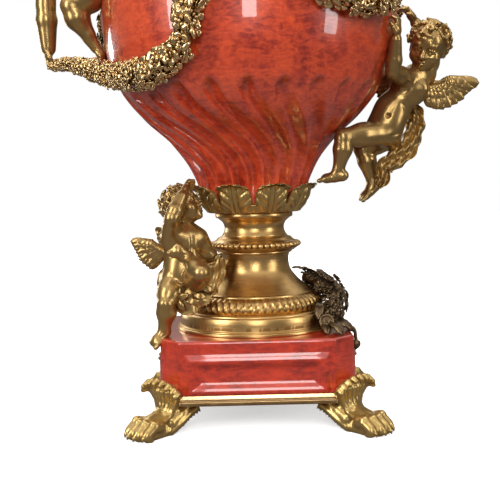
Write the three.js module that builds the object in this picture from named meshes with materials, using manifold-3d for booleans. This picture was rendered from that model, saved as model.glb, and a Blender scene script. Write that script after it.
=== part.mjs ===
// Mantel urn: a red glazed porcelain urn with spiral flutes, on a canted porcelain plinth,
// dressed in gilt bronze: paw feet, a turned foot, a cup of leaves, flower garlands,
// three winged boys and a fallen flower spray, under a domed lid.
// Millimetres, +Z up. The origin is on the urn's axis at the height the paws stand on.
import * as THREE from "three";
import { mergeVertices } from "three/addons/utils/BufferGeometryUtils.js";
import Module from "manifold-3d";

const wasm = await Module();
wasm.setup();

// Driving dimensions
const CLEARANCE = 0.3; // gap left where a casting lies against its neighbour

const FRAME_UNDERSIDE = 24.8; // height of the bronze frame above the ground
const FRAME_HEIGHT = 9.4;
const FRAME_PROUD = 2.5; // how far the frame stands out past the plinth

const PLINTH_HALF = 90; // half the plinth's width across flats
const PLINTH_CANT = 19.5; // how much each corner is cut back along a side
const PLINTH_HEIGHT = 50.2;
const PLINTH_EDGE = 2; // softened edge of the glaze
const PANEL_BORDER = 8; // plain border around each sunk panel
const PANEL_BEVEL = 6;
const PANEL_DEPTH = 3;

const BAND_RADIUS = 79; // foot: plain band standing on the plinth
const BAND_HEIGHT = 18.5;
const TORUS_RADIUS = 66;
const TORUS_HEIGHT = 16;
const WAIST_RADIUS = 33.5;
const FLARE_HEIGHT = 41; // from the top of the torus to the top of the waist

const KNOP_RADIUS = 45.5; // beaded ring
const KNOP_HEIGHT = 16;
const THROAT_RADIUS = 29.5; // narrow neck above the beads
const FLANGE_RADIUS = 38.5;
const THROAT_HEIGHT = 22;

const CUP_RADIUS = 50; // leaf cup at its base
const CUP_LIP_RADIUS = 65; // where the leaf tips curl out
const CUP_HEIGHT = 31;
const CUP_FLOOR = 5;
const LEAF_COUNT = 9;

const BODY_FOOT_RADIUS = 44; // urn body inside the leaf cup
const BELLY_RADIUS = 144;
const BELLY_RISE = 182; // from the body's underside to its widest circle
const SHOULDER_RISE = 105; // half height of the shoulder's ellipse
const NECK_RADIUS = 52;
const BODY_WALL = 6;
const FLUTE_COUNT = 24;
const FLUTE_DEPTH = 7;
const FLUTE_RISE = 118; // height of the fluted zone above the body's underside
const FLUTE_TWIST = THREE.MathUtils.degToRad(31);
const FLUTE_START = THREE.MathUtils.degToRad(6); // where the heads stand around the body

const COLLAR_HEIGHT = 9; // bronze collar where the neck stands on the shoulder
const COLLAR_RADIUS = 60;
const NECK_HEIGHT = 40;
const NECK_WAIST_RADIUS = 42;
const RIM_RADIUS = 58;
const RIM_HEIGHT = 9;
const LID_RADIUS = 53;
const LID_HEIGHT = 38;
const LID_WALL = 5;
const FINIAL_HEIGHT = 46;
const FINIAL_RADIUS = 13;

const ROUND = 24; // facets around the turned pieces

// Heights that follow from the driving dimensions
const PLINTH_BOTTOM = FRAME_UNDERSIDE + FRAME_HEIGHT;
const PLINTH_TOP = PLINTH_BOTTOM + PLINTH_HEIGHT;
const TORUS_TOP = PLINTH_TOP + BAND_HEIGHT + TORUS_HEIGHT;
const WAIST_TOP = TORUS_TOP + FLARE_HEIGHT;
const KNOP_TOP = WAIST_TOP + KNOP_HEIGHT;
const THROAT_TOP = KNOP_TOP + THROAT_HEIGHT;
const BODY_BOTTOM = THROAT_TOP + CUP_FLOOR;
const BELLY_Z = BODY_BOTTOM + BELLY_RISE;
const NECK_SHARE = Math.sqrt(1 - (NECK_RADIUS / BELLY_RADIUS) ** 2);
const BODY_TOP = BELLY_Z + SHOULDER_RISE * NECK_SHARE;
const RIM_BOTTOM = BODY_TOP + NECK_HEIGHT;
const RIM_TOP = RIM_BOTTOM + RIM_HEIGHT;
const LID_TOP = RIM_TOP + LID_HEIGHT;

// Finishes
const porcelain = new THREE.MeshStandardMaterial({ color: 0xa3261a, roughness: 0.12, metalness: 0 });
const bronze = new THREE.MeshStandardMaterial({ color: 0xa9813c, roughness: 0.3, metalness: 1 });

// Small helpers
const V = (x, y, z) => new THREE.Vector3(x, y, z);
const smooth = THREE.MathUtils.smoothstep;
const lerp = THREE.MathUtils.lerp;

// A repeatable number from 0 to 1 for each whole number.
function scatter(n) {
  const x = Math.sin(n * 127.1 + 11.7) * 43758.5453;
  return x - Math.floor(x);
}

// A closed geometry as a solid: shared vertices merged, collapsed faces dropped.
function solid(geometry) {
  const plain = geometry.index ? geometry.toNonIndexed() : geometry;
  const bare = new THREE.BufferGeometry().setAttribute("position", plain.getAttribute("position"));
  const merged = mergeVertices(bare, 1e-3);
  const faces = [];
  for (let i = 0; i < merged.index.count; i += 3) {
    const [a, b, c] = [0, 1, 2].map((k) => merged.index.getX(i + k));
    if (a !== b && b !== c && a !== c) faces.push(a, b, c);
  }
  const vertProperties = merged.attributes.position.array;
  const triVerts = new Uint32Array(faces);
  return new wasm.Manifold(new wasm.Mesh({ numProp: 3, vertProperties, triVerts }));
}

// A solid back as a geometry.
function geometryOf(made) {
  const mesh = made.getMesh();
  const points = new Float32Array(mesh.numVert * 3);
  for (let i = 0; i < mesh.numVert; i++) {
    points.set(mesh.vertProperties.subarray(i * mesh.numProp, i * mesh.numProp + 3), i * 3);
  }
  return new THREE.BufferGeometry()
    .setAttribute("position", new THREE.BufferAttribute(points, 3))
    .setIndex(new THREE.BufferAttribute(new Uint32Array(mesh.triVerts), 1));
}

const join = (parts) => parts.reduce((all, part) => all.add(part));

// A skin over rings of points, all of one length, closed at both ends around an end point.
function skin(rings, start, end) {
  const n = rings[0].length;
  const vertices = [...rings.flat(), start, end].flatMap((p) => [p.x, p.y, p.z]);
  const faces = [];
  const first = rings.length * n;
  for (let k = 0; k < n; k++) {
    const next = (k + 1) % n;
    faces.push(first, next, k);
    for (let i = 0; i + 1 < rings.length; i++) {
      const [a, b, c, d] = [i * n + k, i * n + next, (i + 1) * n + next, (i + 1) * n + k];
      faces.push(a, b, c, a, c, d);
    }
    const last = (rings.length - 1) * n;
    faces.push(first + 1, last + k, last + next);
  }
  return new THREE.BufferGeometry()
    .setAttribute("position", new THREE.Float32BufferAttribute(vertices, 3))
    .setIndex(faces);
}

// A limb through points with a radius at each, or [across, deep] radii, with pointed ends.
function limb(points, radii, { sides = 6, across = V(1, 0, 0), reach = 0.7 } = {}) {
  const line = points.map((p) => (p.isVector3 ? p : V(...p)));
  const pairs = radii.map((r) => (Array.isArray(r) ? r : [r, r]));
  const last = line.length - 1;
  const tangent = (i) =>
    line[Math.min(i + 1, last)].clone().sub(line[Math.max(i - 1, 0)]).normalize();
  const rings = line.map((centre, i) => {
    const along = tangent(i);
    const lateral = across.clone().addScaledVector(along, -across.dot(along)).normalize();
    const normal = along.clone().cross(lateral);
    return Array.from({ length: sides }, (_, k) => {
      const angle = ((k + 0.5) / sides) * 2 * Math.PI;
      return centre
        .clone()
        .addScaledVector(lateral, pairs[i][0] * Math.cos(angle))
        .addScaledVector(normal, pairs[i][1] * Math.sin(angle));
    });
  });
  const start = line[0].clone().addScaledVector(tangent(0), -Math.min(...pairs[0]) * reach);
  const end = line[last].clone().addScaledVector(tangent(last), Math.min(...pairs[last]) * reach);
  return solid(skin(rings, start, end));
}

// A thin plate over an outline that is star-shaped about its middle, thickest at that middle.
function plate(outline, middle, facing, thickness, edge = 1.4) {
  const out = facing.clone().normalize();
  const rim = [...outline];
  const area = rim.reduce((sum, p, i) => {
    const next = rim[(i + 1) % rim.length];
    return sum.add(p.clone().sub(middle).cross(next.clone().sub(middle)));
  }, V(0, 0, 0));
  if (area.dot(out) < 0) rim.reverse();
  const layer = (offset) => rim.map((p) => p.clone().addScaledVector(out, offset));
  const back = middle.clone().addScaledVector(out, -thickness / 2);
  const front = middle.clone().addScaledVector(out, thickness / 2);
  return solid(skin([layer(-edge / 2), layer(edge / 2)], back, front));
}

// A pointed leaf from its stalk to its tip.
function leafBlade(base, tip, width, facing) {
  const along = tip.clone().sub(base);
  const side = along.clone().cross(facing).normalize().multiplyScalar(width / 2);
  const at = (t, share) => base.clone().addScaledVector(along, t).addScaledVector(side, share);
  const outline = [at(0, -0.4), at(0.4, -1), at(0.75, -0.6), tip, at(0.75, 0.6), at(0.4, 1), at(0, 0.4)];
  return plate(outline, at(0.42, 0), facing, 4);
}

function ball(centre, radii, [around, up] = [6, 4]) {
  const geometry = new THREE.SphereGeometry(1, around, up).rotateX(Math.PI / 2);
  return solid(geometry.scale(...radii).translate(...centre));
}

// Each ring of a turned shape may be changed by column, as (radius, height, column) => radius.
function turned(profile, facets = ROUND, carve = (radius) => radius) {
  const points = profile.map(([r, z]) => new THREE.Vector2(r, z));
  const geometry = new THREE.LatheGeometry(points, facets).rotateX(Math.PI / 2);
  const position = geometry.getAttribute("position");
  for (let i = 0; i < position.count; i++) {
    const [x, y, z] = [position.getX(i), position.getY(i), position.getZ(i)];
    const radius = Math.hypot(x, y);
    if (radius < 1e-4) continue;
    const angle = Math.atan2(y, x);
    const column = Math.round((angle / (2 * Math.PI)) * facets + facets) % facets;
    const share = carve(radius, z, column) / radius;
    position.setXY(i, x * share, y * share);
  }
  return solid(geometry);
}

// A canted square as a ring of eight points at one height.
function cantedRing(half, cant, z) {
  const near = half - cant;
  const corners = [
    [half, -near],
    [half, near],
    [near, half],
    [-near, half],
    [-half, near],
    [-half, -near],
    [-near, -half],
    [near, -half],
  ];
  return corners.map(([x, y]) => V(x, y, z));
}

// A canted prism through [half width, height] levels, turned about the axis if asked.
function cantedPrism(levels, turn = 0) {
  const rings = levels.map(([half, z]) => cantedRing(half, PLINTH_CANT + half - PLINTH_HALF, z));
  return solid(skin(rings, V(0, 0, levels[0][1]), V(0, 0, levels.at(-1)[1])).rotateZ(turn));
}

// The plinth's outline grown by the clearance, as the figures above see it.
function plinthEnvelope() {
  const half = PLINTH_HALF + CLEARANCE;
  return cantedPrism([
    [half, PLINTH_BOTTOM],
    [half, PLINTH_TOP + CLEARANCE],
  ]);
}

// The urn body's outside radius, without flutes, at a height above its underside.
const LOWER_OUTLINE = [
  [0, 0],
  [0.09, 0.085],
  [0.165, 0.135],
  [0.258, 0.225],
  [0.368, 0.385],
  [0.478, 0.605],
  [0.588, 0.775],
  [0.67, 0.86],
  [0.807, 0.953],
  [1, 1],
];

function bodyRadius(height) {
  if (height >= BELLY_RISE) {
    const share = Math.min((height - BELLY_RISE) / SHOULDER_RISE, NECK_SHARE);
    return BELLY_RADIUS * Math.sqrt(1 - share ** 2);
  }
  const t = Math.max(height / BELLY_RISE, 0);
  const above = LOWER_OUTLINE.findIndex(([at]) => at >= t);
  const [[t0, s0], [t1, s1]] = [LOWER_OUTLINE[Math.max(above - 1, 0)], LOWER_OUTLINE[above]];
  const share = t1 === t0 ? s0 : lerp(s0, s1, (t - t0) / (t1 - t0));
  return lerp(BODY_FOOT_RADIUS, BELLY_RADIUS, share);
}

const FLARE_FOOT = 58; // where the flare springs from the torus
const FLARE_LINE = [
  [0.08, 0.82],
  [0.26, 0.45],
  [0.48, 0.14],
  [0.72, 0],
  [0.93, 0.05],
];
const flarePoints = FLARE_LINE.map(([up, out]) => [
  lerp(WAIST_RADIUS, FLARE_FOOT, out),
  TORUS_TOP + FLARE_HEIGHT * up,
]);

function turnedFoot() {
  const torusFoot = PLINTH_TOP + BAND_HEIGHT;
  const torusMiddle = torusFoot + TORUS_HEIGHT * 0.45;
  const profile = [
    [BAND_RADIUS, PLINTH_TOP],
    [BAND_RADIUS, PLINTH_TOP + 3],
    [BAND_RADIUS - 3, PLINTH_TOP + 5],
    [BAND_RADIUS - 3.5, torusFoot - 3],
    [TORUS_RADIUS - 1.5, torusFoot],
    [TORUS_RADIUS, torusMiddle],
    [TORUS_RADIUS - 4, TORUS_TOP - 2],
    [FLARE_FOOT, TORUS_TOP],
    ...flarePoints,
    [WAIST_RADIUS + 3.5, WAIST_TOP],
  ];
  const leafy = (radius, z, column) => {
    const onTorus = Math.abs(z - torusMiddle) < 1e-3;
    return radius - (onTorus && column % 2 ? 1.6 : 0);
  };
  return turned([[0, PLINTH_TOP], ...profile, [0, WAIST_TOP]], ROUND, leafy);
}

// The foot's outside, grown by the clearance, to cut the figures that lean on it.
function footEnvelope() {
  const grow = CLEARANCE + 0.7;
  return turned([
    [0, PLINTH_TOP],
    [BAND_RADIUS + grow, PLINTH_TOP],
    [BAND_RADIUS + grow, PLINTH_TOP + 4],
    [BAND_RADIUS - 3 + grow, PLINTH_TOP + BAND_HEIGHT],
    [TORUS_RADIUS + grow, PLINTH_TOP + BAND_HEIGHT + 1],
    [TORUS_RADIUS + grow, TORUS_TOP],
    ...flarePoints.map(([r, z]) => [r + grow, z]),
    [KNOP_RADIUS + grow, WAIST_TOP],
    [KNOP_RADIUS + grow, KNOP_TOP],
    [FLANGE_RADIUS + grow, THROAT_TOP],
    [0, THROAT_TOP],
  ]);
}

function beadedKnop() {
  const beads = 24;
  const beadLevel = WAIST_TOP + 6.5;
  const beaded = (radius, z, column) =>
    radius + (Math.abs(z - beadLevel) < 1e-3 && column % 2 ? 2.6 : 0);
  return turned(
    [
      [0, WAIST_TOP],
      [WAIST_RADIUS + 5, WAIST_TOP],
      [KNOP_RADIUS - 2.6, WAIST_TOP + 3.8],
      [KNOP_RADIUS - 2.6, beadLevel],
      [KNOP_RADIUS - 3, WAIST_TOP + 9.2],
      [WAIST_RADIUS + 3, WAIST_TOP + 11.5],
      [THROAT_RADIUS + 3.5, KNOP_TOP],
      [0, KNOP_TOP],
    ],
    beads * 2,
    beaded,
  );
}

function throat() {
  return turned([
    [0, KNOP_TOP],
    [THROAT_RADIUS + 2.5, KNOP_TOP],
    [THROAT_RADIUS + 0.3, KNOP_TOP + 4],
    [THROAT_RADIUS + 0.6, KNOP_TOP + 10],
    [THROAT_RADIUS + 5, KNOP_TOP + 16],
    [FLANGE_RADIUS, THROAT_TOP - 4],
    [FLANGE_RADIUS, THROAT_TOP],
    [0, THROAT_TOP],
  ]);
}

// The cup of leaves that holds the body: one shell whose edge rises and curls out at each leaf.
const LEAF_COLUMNS = [0, 0.72, 1, 0.72]; // height share of the gap, the side, the rib, the side

function leafCup() {
  const facets = LEAF_COUNT * LEAF_COLUMNS.length;
  const pitch = (2 * Math.PI) / facets;
  const first = -Math.PI / 2 - pitch * LEAF_COLUMNS.length;
  const gapHeight = CUP_FLOOR + 6;
  const ring = (outward) =>
    Array.from({ length: facets }, (_, k) => {
      const share = LEAF_COLUMNS[k % LEAF_COLUMNS.length];
      const [radius, height] = outward(share, lerp(gapHeight, CUP_HEIGHT, share));
      const angle = first + k * pitch;
      return V(radius * Math.cos(angle), radius * Math.sin(angle), THROAT_TOP + height);
    });
  const seat = (height) => (bodyRadius(height - CUP_FLOOR) + CLEARANCE) / Math.cos(pitch / 2) + 0.2;
  const rib = (share) => (share === 1 ? 1.5 : share ? 0 : -1);
  const outside = [
    ring(() => [CUP_RADIUS - 9, 0]),
    ring(() => [CUP_RADIUS - 2, 3.5]),
    ring((share, top) => [CUP_RADIUS + 2.5 + rib(share), lerp(6, top, 0.3)]),
    ring((share, top) => [lerp(CUP_RADIUS + 4, CUP_RADIUS + 9.5, share) + rib(share), lerp(6, top, 0.72)]),
    ring((share, top) => [lerp(CUP_RADIUS + 6, CUP_LIP_RADIUS, share), top - 1.5]),
  ];
  const inside = [
    ring((share, top) => [lerp(CUP_RADIUS + 4.5, CUP_LIP_RADIUS - 2, share), top]),
    ring((share, top) => [seat(lerp(CUP_FLOOR, top, 0.75)) + share, lerp(CUP_FLOOR, top, 0.75)]),
    ring((share, top) => [seat(lerp(CUP_FLOOR, top, 0.3)), lerp(CUP_FLOOR, top, 0.3)]),
    ring(() => [seat(CUP_FLOOR), CUP_FLOOR]),
  ];
  return solid(skin([...outside, ...inside], V(0, 0, THROAT_TOP), V(0, 0, BODY_BOTTOM)));
}

// Levels of the urn body's outline above its underside, and the outline as [radius, height] points.
const LOWER_LEVELS = [0, 0.12, 0.24, 0.36, 0.46, 0.56, 0.615, 0.66, 0.8, 1].map((t) => t * BELLY_RISE);
const SHOULDER_LEVELS = [0.35, 0.62, 0.82, NECK_SHARE].map((t) => BELLY_RISE + t * SHOULDER_RISE);

function bodyProfile() {
  return [...LOWER_LEVELS, ...SHOULDER_LEVELS].map((h) => [bodyRadius(h), BODY_BOTTOM + h]);
}

// The body's outside without flutes, grown by the clearance, to cut what lies against it.
function bodyEnvelope() {
  const facets = 40;
  const around = (r) => (r + CLEARANCE) / Math.cos(Math.PI / facets);
  const outline = bodyProfile().map(([r, z]) => [around(r), z]);
  const bottom = BODY_BOTTOM - CLEARANCE;
  return turned([[0, bottom], [BODY_FOOT_RADIUS, bottom], ...outline, [0, BODY_TOP]], facets);
}

// How deep the middle of a flute is at a height above the underside.
function fluteDepth(height) {
  return FLUTE_DEPTH * smooth(FLUTE_RISE - height, 0, 12) * smooth(height, 12, 34);
}

// Porcelain body: a hollow lathe shape whose every second column sinks into a spiral flute.
function urnBody() {
  const facets = FLUTE_COUNT * 2;
  const outer = bodyProfile().map(([r, z]) => new THREE.Vector2(r, z));
  const ends = [BODY_BOTTOM, BODY_TOP].map((z) => new THREE.Vector2(0, z));
  const outside = new THREE.LatheGeometry([ends[0], ...outer, ends[1]], facets).rotateX(Math.PI / 2);
  const position = outside.getAttribute("position");
  for (let i = 0; i < position.count; i++) {
    const [x, y] = [position.getX(i), position.getY(i)];
    const height = position.getZ(i) - BODY_BOTTOM;
    const angle = Math.atan2(y, x);
    const column = Math.round((angle / (2 * Math.PI)) * facets + facets);
    const turn = FLUTE_TWIST * smooth(FLUTE_RISE - height, 8, FLUTE_RISE - 30);
    const reach = Math.hypot(x, y) - (column % 2 ? fluteDepth(height) : 0);
    const where = angle + turn + FLUTE_START;
    if (reach > 1) position.setXY(i, reach * Math.cos(where), reach * Math.sin(where));
  }
  const cavity = [0.06, 0.3, 0.5, 0.75, 1].map((t) => t * BELLY_RISE);
  const inner = [...cavity, ...SHOULDER_LEVELS.slice(1)].map((h) => {
    const behind = h < FLUTE_RISE ? FLUTE_DEPTH : 0;
    return [bodyRadius(h) - BODY_WALL - behind, BODY_BOTTOM + h];
  });
  const [mouth] = inner.at(-1);
  const hollow = turned([[0, inner[0][1]], ...inner, [mouth, BODY_TOP + 1], [0, BODY_TOP + 1]], 20);
  return solid(outside).subtract(hollow);
}

// A round tube wall from an outer profile, with the bore following it inside.
function turnedRing(outer, inner) {
  const low = outer[0][1];
  const high = outer.at(-1)[1];
  const whole = turned([[0, low], ...outer, [0, high]]);
  const bore = turned([
    [0, low - 1],
    [inner[0][0], low - 1],
    ...inner,
    [inner.at(-1)[0], high + 1],
    [0, high + 1],
  ]);
  return whole.subtract(bore);
}

function neckCollar() {
  const outer = [
    [COLLAR_RADIUS - 4, BODY_TOP],
    [COLLAR_RADIUS, BODY_TOP + 2.5],
    [COLLAR_RADIUS, BODY_TOP + 5],
    [NECK_RADIUS - 1, BODY_TOP + COLLAR_HEIGHT],
  ];
  const bore = NECK_RADIUS - BODY_WALL;
  return turnedRing(outer, [[bore, BODY_TOP], [bore, BODY_TOP + COLLAR_HEIGHT]]);
}

function neck() {
  const bottom = BODY_TOP + COLLAR_HEIGHT;
  const height = NECK_HEIGHT - COLLAR_HEIGHT;
  const outer = [0, 0.25, 0.6, 1].map((t) => {
    const flare = t < 0.4 ? ((0.4 - t) / 0.4) ** 1.6 * (NECK_RADIUS - 2.5 - NECK_WAIST_RADIUS) : 0;
    const lip = t > 0.4 ? ((t - 0.4) / 0.6) ** 1.8 * (RIM_RADIUS - 5 - NECK_WAIST_RADIUS) : 0;
    return [NECK_WAIST_RADIUS + flare + lip, bottom + height * t];
  });
  const inner = outer.map(([r, z]) => [r - BODY_WALL, z]);
  return turnedRing(outer, inner);
}

function rim() {
  const outer = [
    [RIM_RADIUS - 4, RIM_BOTTOM],
    [RIM_RADIUS, RIM_BOTTOM + 3],
    [RIM_RADIUS, RIM_BOTTOM + 6],
    [RIM_RADIUS - 3, RIM_TOP],
  ];
  const bore = RIM_RADIUS - 5 - BODY_WALL;
  return turnedRing(outer, [[bore, RIM_BOTTOM], [bore, RIM_TOP]]);
}

function lidProfile(radius, height, steps) {
  return Array.from({ length: steps + 1 }, (_, i) => {
    const t = i / steps;
    return [radius * (1 - t ** 2.4) ** 0.62 + 0.001, RIM_TOP + height * t];
  });
}

function lid() {
  const dome = lidProfile(LID_RADIUS, LID_HEIGHT, 5);
  const top = dome.slice(0, -1);
  const outside = turned([[0, RIM_TOP], ...top, [FINIAL_RADIUS * 0.8, LID_TOP], [0, LID_TOP]]);
  const under = lidProfile(LID_RADIUS - LID_WALL, LID_HEIGHT - LID_WALL, 4).slice(0, -1);
  const low = RIM_TOP - 1;
  const inside = turned([
    [0, low],
    [LID_RADIUS - LID_WALL, low],
    ...under,
    [0, RIM_TOP + LID_HEIGHT - LID_WALL],
  ]);
  return outside.subtract(inside);
}

// A pine cone on a small turned seat; its scales alternate from row to row.
function finial() {
  const seat = 12;
  const r = FINIAL_RADIUS;
  const cone = [
    [0.85, seat],
    [1.05, seat + 6],
    [1.1, seat + 12],
    [0.95, seat + 18],
    [0.72, seat + 24],
    [0.42, seat + 30],
  ].map(([share, z]) => [r * share, LID_TOP + z]);
  const rowOf = (z) => cone.findIndex(([, level]) => Math.abs(level - z) < 1e-3);
  const scaled = (radius, z, column) => {
    const row = rowOf(z);
    return row < 1 ? radius : radius * ((row + column) % 2 ? 1.12 : 0.9);
  };
  return turned(
    [
      [0, LID_TOP],
      [r, LID_TOP],
      [r + 2, LID_TOP + 2.5],
      [r * 0.5, LID_TOP + 6],
      ...cone,
      [0, LID_TOP + FINIAL_HEIGHT],
    ],
    12,
    scaled,
  );
}

// Porcelain plinth with a sunk panel on each of its four sides.
function plinth() {
  const block = cantedPrism([
    [PLINTH_HALF - 1, PLINTH_BOTTOM],
    [PLINTH_HALF, PLINTH_BOTTOM + PLINTH_EDGE],
    [PLINTH_HALF, PLINTH_TOP - PLINTH_EDGE],
    [PLINTH_HALF - PLINTH_EDGE, PLINTH_TOP],
  ]);
  const middle = (PLINTH_BOTTOM + PLINTH_TOP) / 2;
  const [wide, high] = [PLINTH_HALF - PLINTH_CANT - PANEL_BORDER, PLINTH_HEIGHT / 2 - PANEL_BORDER];
  const panelRing = (inset, out) =>
    [
      [-1, -1],
      [1, -1],
      [1, 1],
      [-1, 1],
    ].map(([a, b]) => V(out, a * (wide - inset), middle + b * (high - inset)));
  const rings = [
    panelRing(PANEL_BEVEL, PLINTH_HALF - PANEL_DEPTH),
    panelRing(0, PLINTH_HALF),
    panelRing(0, PLINTH_HALF + 2),
  ];
  const cutter = (turn) => {
    const shape = skin(rings, V(rings[0][0].x, 0, middle), V(rings[2][0].x, 0, middle));
    return solid(shape.rotateZ(turn));
  };
  return [0, 1, 2, 3].reduce((made, k) => made.subtract(cutter((k * Math.PI) / 2)), block);
}

function baseFrame() {
  return cantedPrism([
    [PLINTH_HALF + FRAME_PROUD - 1, FRAME_UNDERSIDE],
    [PLINTH_HALF + FRAME_PROUD, FRAME_UNDERSIDE + 1.5],
    [PLINTH_HALF + FRAME_PROUD, PLINTH_BOTTOM - 2.5],
    [PLINTH_HALF + 0.5, PLINTH_BOTTOM],
  ]);
}

// One paw foot, pointing along +X: a leaf-topped leg that bends into a lion's paw.
function pawFoot() {
  const corner = (2 * PLINTH_HALF - PLINTH_CANT) / Math.SQRT2; // from the axis to the canted face
  const side = V(0, 1, 0);
  const top = FRAME_UNDERSIDE + 18.5;
  const leg = limb(
    [
      [corner + 7, 0, top - 3],
      [corner + 6, 0, FRAME_UNDERSIDE + 6],
      [corner + 8, 0, FRAME_UNDERSIDE - 5],
      [corner + 17, 0, 9.5],
      [corner + 33, 0, 8],
    ],
    [
      [21, 7],
      [14, 9],
      [12.5, 10],
      [14.5, 11],
      [16, 10.5],
    ],
    { sides: 7, across: side, reach: 0.3 },
  );
  const toe = (k) => {
    const spread = (k - 1.5) * 8.4;
    const reach = corner + 46 - Math.abs(k - 1.5) * 3.4;
    return limb(
      [
        [corner + 24, spread * 0.8, 8.5],
        [reach - 2, spread * 1.05, 5],
      ],
      [7.5, 7.2],
      { sides: 4, across: side, reach: 0.8 },
    );
  };
  const lobes = 5;
  const crest = Array.from({ length: lobes * 2 + 1 }, (_, i) => {
    const angle = Math.PI * (i / (lobes * 2));
    const reach = i % 2 ? 1 : 0.84;
    const [wide, high] = [Math.cos(angle) * 23 * reach, Math.sin(angle) * 15 * reach];
    return V(corner + 9 + high * 0.55, wide, top - 9 + high);
  });
  const shell = plate(crest, V(corner + 11, 0, top - 4), V(0.9, 0, -0.45), 11, 3);
  const bracket = limb(
    [
      [corner - 20, 0, FRAME_UNDERSIDE - 3],
      [corner, 0, FRAME_UNDERSIDE - 7],
      [corner + 10, 0, FRAME_UNDERSIDE - 12],
    ],
    [
      [12, 3],
      [14, 7],
      [12, 9],
    ],
    { sides: 4, across: side },
  );
  const whole = join([leg, bracket, shell, ...[0, 1, 2, 3].map(toe)]);
  const aligned = -Math.PI / 4;
  const half = PLINTH_HALF + CLEARANCE;
  const frameHalf = PLINTH_HALF + FRAME_PROUD + CLEARANCE;
  const block = cantedPrism(
    [
      [half, FRAME_UNDERSIDE],
      [half, PLINTH_TOP + 5],
    ],
    aligned,
  );
  const frame = cantedPrism(
    [
      [frameHalf, FRAME_UNDERSIDE - CLEARANCE],
      [frameHalf, PLINTH_BOTTOM + CLEARANCE],
    ],
    aligned,
  );
  const ground = solid(new THREE.BoxGeometry(400, 400, 100).translate(corner, 0, -50));
  return whole.subtract(block).subtract(frame).subtract(ground);
}

// A winged boy from his joints. All joints are [x, y, z] from his own anchor.
const FLESH = {
  pelvis: [17.5, 15],
  waist: [15, 13.5],
  chest: [17.5, 14],
  collarbone: [12.5, 10],
  neck: 8.5,
  skull: [16, 16.5, 18.5],
  upperArm: 8.8,
  elbow: 7.4,
  wrist: 5.2,
  hand: [6.2, 4.4],
  thigh: 12.4,
  knee: 8.8,
  calf: 9.4,
  ankle: 5.4,
  heel: [4.8, 5.6],
  toes: [5.4, 3.5],
};

function wing({ root, tips, facing, bow }, chest) {
  const start = V(...root);
  const seat = start.clone().lerp(V(...chest), 0.6);
  const ends = tips.map((tip) => V(...tip));
  const [first, final] = [ends[0], ends.at(-1)];
  const upward = first.clone().sub(final).normalize();
  const notch = (i) => ends[i].clone().lerp(ends[i + 1], 0.5).lerp(start, 0.14);
  const feathers = ends.flatMap((tip, i) => (i + 1 < ends.length ? [tip, notch(i)] : [tip]));
  const outline = [
    seat.clone().addScaledVector(upward, -6),
    seat.clone().addScaledVector(upward, 6),
    start.clone().lerp(first, 0.5).addScaledVector(upward, bow),
    ...feathers,
  ];
  const middle = start.clone().lerp(first.clone().lerp(final, 0.4), 0.4);
  return plate(outline, middle, V(...facing), 9, 2.4);
}

// A head with a smooth face and lumps of curly hair around it.
function curlyHead({ head, face, skullScale = 1 }) {
  const [columns, rows] = [10, 7];
  const front = V(...face).normalize();
  const geometry = new THREE.SphereGeometry(1, columns, rows).rotateX(Math.PI / 2);
  const position = geometry.getAttribute("position");
  for (let i = 0; i < position.count; i++) {
    const at = V(0, 0, 0).fromBufferAttribute(position, i);
    const row = Math.round((Math.acos(THREE.MathUtils.clamp(at.z, -1, 1)) / Math.PI) * rows);
    const column = Math.round((Math.atan2(at.y, at.x) / (2 * Math.PI)) * columns + columns);
    const hair = smooth(0.55 - at.dot(front), 0, 0.3) * smooth(at.z, -0.8, -0.4);
    const lump = row === 0 || (row + column) % 2 ? 0.2 : 0.02;
    at.multiplyScalar(1 + hair * lump);
    position.setXYZ(i, at.x, at.y, at.z);
  }
  const radii = FLESH.skull.map((radius) => radius * skullScale);
  return solid(geometry.scale(...radii).translate(...head));
}

// Radii times a boy's own bulk, plus a growth in millimetres.
const grown = (radii, grow, bulk) =>
  radii.map((r) => (Array.isArray(r) ? r.map((v) => v * bulk + grow) : r * bulk + grow));

function arm({ shoulder, elbow, wrist, hand }, bulk = 1, grow = 0) {
  const radii = [FLESH.upperArm, FLESH.elbow, FLESH.wrist, FLESH.hand];
  return limb([shoulder, elbow, wrist, hand], grown(radii, grow, bulk));
}

function leg({ hip, knee, ankle, heel, toe }, bulk = 1, grow = 0) {
  const calf = V(...knee).lerp(V(...ankle), 0.38);
  const across = V(...toe).sub(V(...heel)).cross(V(...ankle).sub(V(...knee)));
  const radii = [FLESH.thigh, FLESH.knee, FLESH.calf, FLESH.ankle];
  return [
    limb([hip, knee, calf, ankle], grown(radii, grow, bulk)),
    limb([heel, toe], grown([FLESH.heel, FLESH.toes], grow, bulk), { across }),
  ];
}

// A boy's limbs grown by the clearance, to cut the garland that he holds.
function limbEnvelope(pose, offset) {
  const grow = CLEARANCE + 0.5;
  const arms = pose.arms.map((each) => arm(each, pose.bulk, grow));
  const legs = pose.legs.flatMap((each) => leg(each, pose.bulk, grow));
  return moved(join([...arms, ...legs]), offset);
}

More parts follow.
